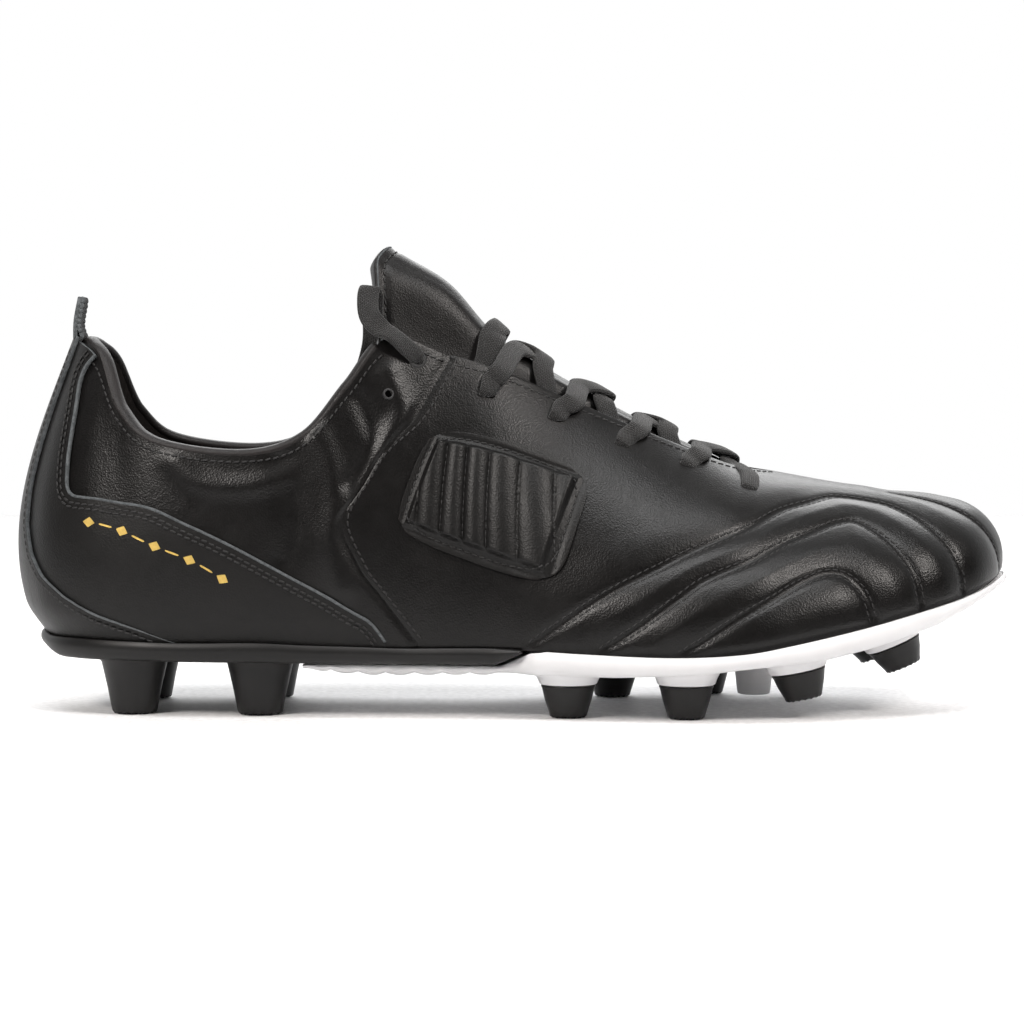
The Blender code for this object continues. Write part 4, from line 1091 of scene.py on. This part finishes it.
def lace_half(start_side, height):
    """One half of the lace from its first eyelet: points, way up, width and thickness."""
    sites = {name: locate([(x, z)])[0] for name, x, z in EYELETS}
    side, face = start_side, 1.0
    route = []

    def station(u, which):
        return u if which == 0 else LOOP - u

    def outward(u, v, which):
        up = normal(station(u, which), v)
        down = skin(station(u, which), v - 0.02) - skin(station(u, which), v)
        return unit(down - up * (down * up).sum())

    def put(point, up, wide=LACE_WIDTH, thick=LACE_THICK):
        route.append((*point, *up, wide, thick))

    def on_flap(u, v, which, rise, wide=LACE_WIDTH):
        way = face if rise > 0.0 else -face
        put(layer(station(u, which), v, rise), normal(station(u, which), v) * way, wide)

    def hole(u, v, which, way, heights):
        for rise in heights:
            put(layer(station(u, which), v, rise), outward(u, v, which) * way, 4.1, 2.7)

    def tip(u, v, which):
        way = normal(station(u, which), v) + outward(u, v, which)
        put(layer(station(u - 0.04, which), v - 0.035, 0.75), way * face, 5.0, 2.0)

    def over_tongue(u, which, share, rise):
        place = 5.0 - 3.0 * share if which == 0 else 5.0 + 3.0 * share
        put(tongue_layer(u, place, rise), tongue_normal(u, place) * face)

    u, v = sites["e"]
    hole(u, v, side, face, (-4.0, -2.8))
    tip(u, v, side)
    on_flap(u - 0.02, (v + 1.0) / 2.0, side, LACE_ON_FLAP, 6.2)
    names = ["e", "d", "c", "b", "a"]
    for near, far in zip(names, names[1:]):
        u0 = sites[near][0]
        u1, v1 = sites[far]
        over_tongue(u0 - 0.18, side, 0.6, 1.9)
        over_tongue(u0 * 0.74 + u1 * 0.26, side, 0.0, height)
        side = 1 - side
        over_tongue(u1 * 0.62 + u0 * 0.38, side, 0.5, 2.3)
        on_flap(u1 + 0.13, 0.985, side, LACE_ON_FLAP + 0.8)
        on_flap(u1 + 0.02, v1 + 0.02, side, LACE_ON_FLAP, 6.2)
        tip(u1, v1, side)
        hole(u1, v1, side, face, (-2.8,))
        on_flap(u1 - 0.06, 0.985, side, LACE_UNDER_FLAP, 5.2)
        face = -face
    u0 = sites["a"][0]
    u1, v1 = sites["t"]
    over_tongue(u0 + 0.02, side, 0.6, 2.2)
    over_tongue(u0 + 0.03, side, 0.0, height)
    side = 1 - side
    over_tongue(u0 - 0.06, side, 0.62, 2.0)
    under = u0 - 0.2
    put(layer(station(under, side), 0.99, LACE_UNDER_FLAP), normal(station(under, side), 0.99) * face, 5.6)
    hole(u1, v1, side, -face, (-2.8, 0.2))
    face = -face
    on_flap(u1 - 0.1, v1 + 0.01, side, LACE_ON_FLAP - 0.1, 5.4)
    mirror = 1.0 if side == 0 else -1.0
    for (x, y, z), (a, b, c) in zip(TAIL_POINTS, TAIL_UPS):
        put((x, y * mirror, z), np.array((a, b * mirror, c)) * face, 6.4 if z > 109.0 else 4.4, 1.6)
    last = route[-1]
    route[-1] = (*last[:6], 2.6, 2.4)
    return route


def make_lace():
    first = lace_half(0, LACE_FIRST)
    second = lace_half(1, LACE_SECOND)
    bar = (*LACE_BAR, 0.0, 0.0, -1.0, 4.6, 2.2)
    route = np.array(list(reversed(first)) + [bar] + second)
    count = len(route) * 12
    dense = spline(route, count)
    tube("lace_band", dense[:, :3], unit(dense[:, 3:6]), np.clip(dense[:, 6], 2.4, LACE_WIDTH + 0.3),
         np.clip(dense[:, 7], 1.5, 2.8), LACE_CLOTH, BOOT, ["lace"], sides=14, power=3.2,
         uv_length=1.0)
    for name, ends in (("medial", first[-2:]), ("lateral", second[-2:])):
        start, end = np.array(ends[0][:3]), np.array(ends[1][:3])
        along = unit(end - start)
        steps = np.array([0.2, 0.5, 2.2, 2.5, 3.0, 3.3, 11.5, 13.0, 13.8, 14.0])
        wide = np.array([2.6, 3.0, 3.0, 2.7, 2.7, 2.95, 2.7, 2.3, 1.4, 0.4])
        tube("aglet_film_" + name, end + along * steps[:, None], np.tile((1.0, 0.3, 0.0), (len(steps), 1)),
             wide, wide, AGLET_PLASTIC, BOOT, ["aglet_" + name], sides=20)


# ---- sole --------------------------------------------------------------------------------------

def foot(u):
    return rib(u)[..., 0, :]


def station_at(x):
    """Station on the lateral side whose foot has this x."""
    u = np.linspace(0.0, LAST_STATION, 2000)
    return float(np.interp(x, foot(u)[:, 0], u))


def outline(u, out, z):
    """Points of the sole's plan outline at station u, moved out sideways and set to height z."""
    u, out, z = np.broadcast_arrays(np.asarray(u, float), out, z)
    base = foot(u)
    along = foot(u + 0.02) - foot(u - 0.02)
    side = unit(np.stack([along[..., 1], -along[..., 0], np.zeros_like(u)], axis=-1))
    moved = base + side * out[..., None]
    moved[..., 2] = z
    return moved


def ladder(name, stations, profile, made, body, nodes, across):
    """Loft with a half profile at each station on both sides, joined across with extra points."""
    columns = []
    for u in stations:
        half = profile(u)
        outs = np.array([row[0] for row in half])
        heights = np.array([row[1] for row in half])
        outer = outline(u, outs, heights)
        inner = outline(LOOP - u, outs, heights)
        share = np.linspace(0.0, 1.0, across + 2)[1:-1, None]
        under = outer[-1] * (1.0 - share) + inner[-1] * share
        over = inner[0] * (1.0 - share) + outer[0] * share
        columns.append(np.vstack([outer, under, inner[::-1], over]))
    points = np.array(columns)
    mesh = raw_mesh(name, points, capped(*points.shape[:2]), weld=0.00001, outward=True)
    item = new_object(name, mesh, [made])
    settle(item, 38.0)
    finish_piece(item, body, nodes)


def shell_profile(u):
    x = float(foot(u)[0])
    low = float(table(HEEL_SHELL_UNDERSIDE, x)) + 2.4 * float(smooth(-132.0, -138.6, x))
    top = foot(u)[2] + 0.25 + 0.9 * float(smooth(-134.0, -138.6, x))
    tall = max(top - low, 0.2)
    return [(-1.2, top - 0.6), (0.9, top - 0.55), (1.35, top), (1.9, top - 0.12), (2.35, top - 0.14 * tall),
            (2.6, top - 0.32 * tall), (2.62, top - 0.5 * tall), (2.3, top - 0.68 * tall),
            (1.7, low + 0.17 * tall), (0.9, low + 0.07 * tall), (-0.2, low + 0.01 * tall), (-1.6, low),
            (-5.5, low), (-6.2, low + 0.5), (-7.5, low + 0.55)]


def shank_ridge(x):
    """Height of the cross ribs under the arch."""
    inside = smooth(-60.0, -54.0, x) * smooth(-4.0, -9.0, x)
    return inside * (0.9 * np.abs(np.sin(math.pi * (x + 61.0) / 8.0)) ** 0.7 - 0.2)


def plate_profile(u):
    x = float(foot(u)[0])
    low = float(table(PLATE_UNDERSIDE, x)) - float(shank_ridge(x))
    full = foot(u)[2] + 0.2
    top = min(full, float(table(PLATE_TOP_STEP, x))) if x < 9.0 else full
    out = -5.0 + 6.4 * min(max((x + 2.0) / 9.0, 0.0), 1.0)
    tall = max(top - low, 0.2)
    return [(out - 2.6, top - 0.45), (out - 0.3, top - 0.4), (out + 0.1, top), (out + 0.6, top - 0.1),
            (out + 1.0, top - 0.16 * tall), (out + 1.15, top - 0.34 * tall), (out + 1.0, low + 0.48 * tall),
            (out + 0.45, low + 0.3 * tall), (out - 0.5, low + 0.15 * tall), (out - 1.7, low + 0.04 * tall),
            (out - 3.0, low), (out - 5.6, low), (out - 6.2, low + 0.4), (out - 7.4, low + 0.45)]


def turned(name, rows, made, body, slot, nodes=(), sides=64, teeth=0):
    """Turned studs in one piece; each row is (low point, axis, [(radius, height)...]), profile bottom up."""
    points, faces, start = [], [], 0
    turn = turns(sides)
    for low, axis, profile in rows:
        axis = unit(np.array(axis, float))
        across = unit(np.cross(axis, (0.0, 1.0, 0.0)))
        side = np.cross(axis, across)
        for radius, height in profile:
            at_rim = float(radius > 0.8 * TIP_RADII[0] and height < 0.7)
            notch = 0.24 * (1.0 - np.cos(turn * teeth)) * at_rim
            points.append(np.array(low, float) + axis * (height + notch)[:, None]
                          + across * (np.cos(turn) * radius)[:, None]
                          + side * (np.sin(turn) * radius)[:, None])
        faces += capped(len(profile), sides, start)
        start += len(profile) * sides
    item = new_object(name, raw_mesh(name, np.vstack(points), faces, weld=0.0, outward=True), [made])
    settle(item, 35.0)
    finish_piece(item, body, nodes)


def tip_axis(tilt):
    return np.array((math.sin(math.radians(-tilt)), 0.0, math.cos(math.radians(tilt))))


def make_sole():
    front = station_at(SHELL_FRONT_X)
    stations = np.concatenate([np.linspace(0.0, 2.0, 40), np.linspace(2.07, station_at(-8.0), 110),
                               np.linspace(station_at(-7.0), front, 16)])
    ladder("heel_shell_moulded", stations, shell_profile, BLACK_TPU, BOOT,
           ["outsole_heel_shell"], across=10)
    rear = station_at(SHANK_REAR_X)
    stations = np.concatenate([np.linspace(rear, station_at(-3.0), 110),
                               np.linspace(station_at(-2.5), 17.0, 110), np.linspace(17.05, 19.0, 46)])
    ladder("forefoot_plate_moulded", stations, plate_profile, WHITE_TPU, BOOT,
           ["outsole_forefoot_plate"], across=10)

    bases = []
    tip, top = TIP_RADII
    for name, x, y, z, height, tilt in TIPS:
        axis = tip_axis(tilt)
        low = np.array((x, y, z)) + axis * (height + 0.25)
        rise = float(table(PLATE_UNDERSIDE, x)) - low[2] + 1.6
        bases.append((low, axis, [(top + 0.1, 0.0), (top + 0.45, 0.25), (top + 0.9, 0.3 * rise),
                                  (top + 1.7, 0.62 * rise), (top + 3.2, 0.88 * rise), (top + 5.6, rise)]))
    x, y, z, radius = CENTRE_STUD
    profile = [(radius - 0.9, 0.0), (radius - 0.2, 0.25), (radius, 1.0), (radius + 0.6, 6.0),
               (radius + 1.5, 10.0), (radius + 4.2, 13.4)]
    bases.append((np.array((x, y, z)), (0.0, 0.0, 1.0), profile))
    turned("stud_bases_white", bases, WHITE_TPU, BOOT, "white_sole")

    for name, x, y, z, height, tilt in TIPS:
        profile = [(1.6, 0.75), (1.9, 0.25), (tip - 1.4, 0.12), (tip - 0.75, 0.0), (tip - 0.25, 0.15),
                   (tip, 0.6), (tip + 0.12, 1.2), (tip + 0.55 * (top - tip), 0.55 * height),
                   (top - 0.35, height - 0.9), (top - 0.05, height - 0.4), (top - 0.2, height)]
        turned("stud_tip_turned_" + name, [((x, y, z), tip_axis(tilt), profile)], BLACK_TPU, BOOT,
               "black_sole", ["stud_tip_" + name], teeth=16)
    small, large = HEEL_STUD_RADII
    for name, x, y in HEEL_STUDS:
        tall = float(table(HEEL_SHELL_UNDERSIDE, x)) + 0.3
        profile = [(1.8, 0.9), (2.2, 0.3), (small - 1.6, 0.15), (small - 0.85, 0.0), (small - 0.3, 0.15),
                   (small, 0.6), (small + 0.1, 1.3), (small + 0.4 * (large - small), 0.45 * tall),
                   (small + 0.75 * (large - small), 0.75 * tall), (large - 0.1, 0.93 * tall),
                   (large + 0.9, tall)]
        turned("heel_stud_turned_" + name, [((x, y, 0.0), (0.0, 0.0, 1.0), profile)], BLACK_TPU, BOOT,
               "black_sole", ["heel_stud_" + name], teeth=16)


def sockliner_profile(u):
    base = float(foot(u)[2]) + 1.75
    return [(-9.4, base + 4.1), (-8.3, base + 4.55), (-7.4, base + 4.5), (-7.1, base + 4.1),
            (-7.3, base + 3.2), (-8.6, base + 0.6), (-9.2, base + 0.1), (-10.5, base)]


def make_sockliner():
    stations = np.concatenate([np.linspace(0.0, 2.0, 30), np.linspace(2.1, 17.0, 120),
                               np.linspace(17.1, 19.0, 30)])
    ladder("sockliner_cloth", stations, sockliner_profile, SOCK_CLOTH, LINER_BODY,
           ["sockliner"], across=16)
    u = np.linspace(0.25, LOOP - 0.25, 900)
    line = outline(u, -11.3, foot(u)[:, 2] + 6.0)
    rows = [(line, np.tile((0.0, 0.0, 1.0), (len(u), 1)))]
    stitches("sockliner_stitches", rows, LINER_BODY, pitch=3.2, length=2.4)


# ---- CAD pieces kept as they are ---------------------------------------------------------------

KEPT_LOOKS = {
    "collar_foam": FOAM_GREY, "vamp_foam_lateral": FOAM_GREY, "vamp_foam_medial": FOAM_GREY,
    "tongue_foam": FOAM_GREY, "heel_counter": FIBRE, "toe_puff": FIBRE, "insole_board": FIBRE,
}


def dress_kept_nodes():
    for name, made in KEPT_LOOKS.items():
        materials = bpy.data.objects[name].data.materials
        materials.clear()
        materials.append(made)


# ---- stage -------------------------------------------------------------------------------------

WHITE, WARM = (1.0, 1.0, 1.0), (1.0, 0.95, 0.91)


def area_light(name, place, target, size, power, tint):
    data = bpy.data.lights.new(name, "AREA")
    data.shape = "RECTANGLE"
    data.size, data.size_y = size
    data.energy = power
    data.color = tint
    lamp = bpy.data.objects.new(name, data)
    lamp.location = place
    lamp.rotation_euler = (Vector(target) - Vector(place)).to_track_quat("-Z", "Y").to_euler()
    bpy.context.scene.collection.objects.link(lamp)


LIGHTS = [  # name, place, target, size, power, tint
    ("top_softbox", (-0.05, -0.35, 1.15), (0.0, 0.0, 0.04), (0.9, 0.35), 9.0, WHITE),
    ("front_left_softbox", (-0.7, -0.85, 0.85), (-0.02, 0.0, 0.06), (0.3, 0.3), 11.0, WARM),
    ("front_right_softbox", (0.75, -0.7, 0.9), (0.03, 0.0, 0.05), (0.3, 0.3), 9.5, WARM),
    ("rear_softbox", (0.1, 1.0, 0.8), (0.0, 0.0, 0.06), (1.2, 0.6), 8.0, WHITE),
]


def make_floor():
    mesh = bpy.data.meshes.new("studio_floor")
    corners = [(-3.0, -3.0, 0.0), (3.0, -3.0, 0.0), (3.0, 1.1, 0.0), (-3.0, 1.1, 0.0)]
    mesh.from_pydata(corners, [], [(0, 1, 2, 3)])
    floor = new_object("studio_floor", mesh, [plain("pale_floor", (0.93, 0.93, 0.935), 0.6, bump=0.0)])
    floor.location.z = -0.0002


def make_world():
    """Pale surroundings, bright behind the boot and dim behind the camera."""
    world = bpy.data.worlds.new("pale_studio")
    world.use_nodes = True
    tree = world.node_tree
    place = add(tree, "ShaderNodeTexCoord")
    split = add(tree, "ShaderNodeSeparateXYZ")
    spread = add(tree, "ShaderNodeMapRange", {"From Min": -0.2, "From Max": 0.5, "To Min": 0.03,
                                              "To Max": 1.0})
    tree.links.new(place.outputs["Generated"], split.inputs[0])
    tree.links.new(split.outputs["Y"], spread.inputs["Value"])
    tree.links.new(spread.outputs["Result"], tree.nodes["Background"].inputs["Strength"])
    tree.nodes["Background"].inputs["Color"].default_value = (1.0, 1.0, 1.0, 1.0)
    bpy.context.scene.world = world
    bpy.context.scene.view_settings.view_transform = "Standard"


def make_camera():
    data = bpy.data.cameras.new("photo_view")
    data.lens = 117.4
    data.sensor_width = 36.0
    data.clip_start = 0.05
    camera = bpy.data.objects.new("photo_view", data)
    camera.location = (-0.00005, -0.9976, 0.109)
    aim = Vector((0.0, 0.0, 0.058))
    camera.rotation_euler = (aim - camera.location).to_track_quat("-Z", "Y").to_euler()
    bpy.context.scene.collection.objects.link(camera)
    bpy.context.scene.camera = camera


make_vamp()
make_quarters()
make_linings()
make_collar_roll()
make_upper_stitching()
make_heel()
make_heel_stitching()
make_gold_mark()
make_patches()
make_eyelets()
make_pull_tab()
make_tongue()
make_lace()
make_sole()
make_sockliner()
dress_kept_nodes()
make_floor()
for light in LIGHTS:
    area_light(*light)
make_world()
make_camera()
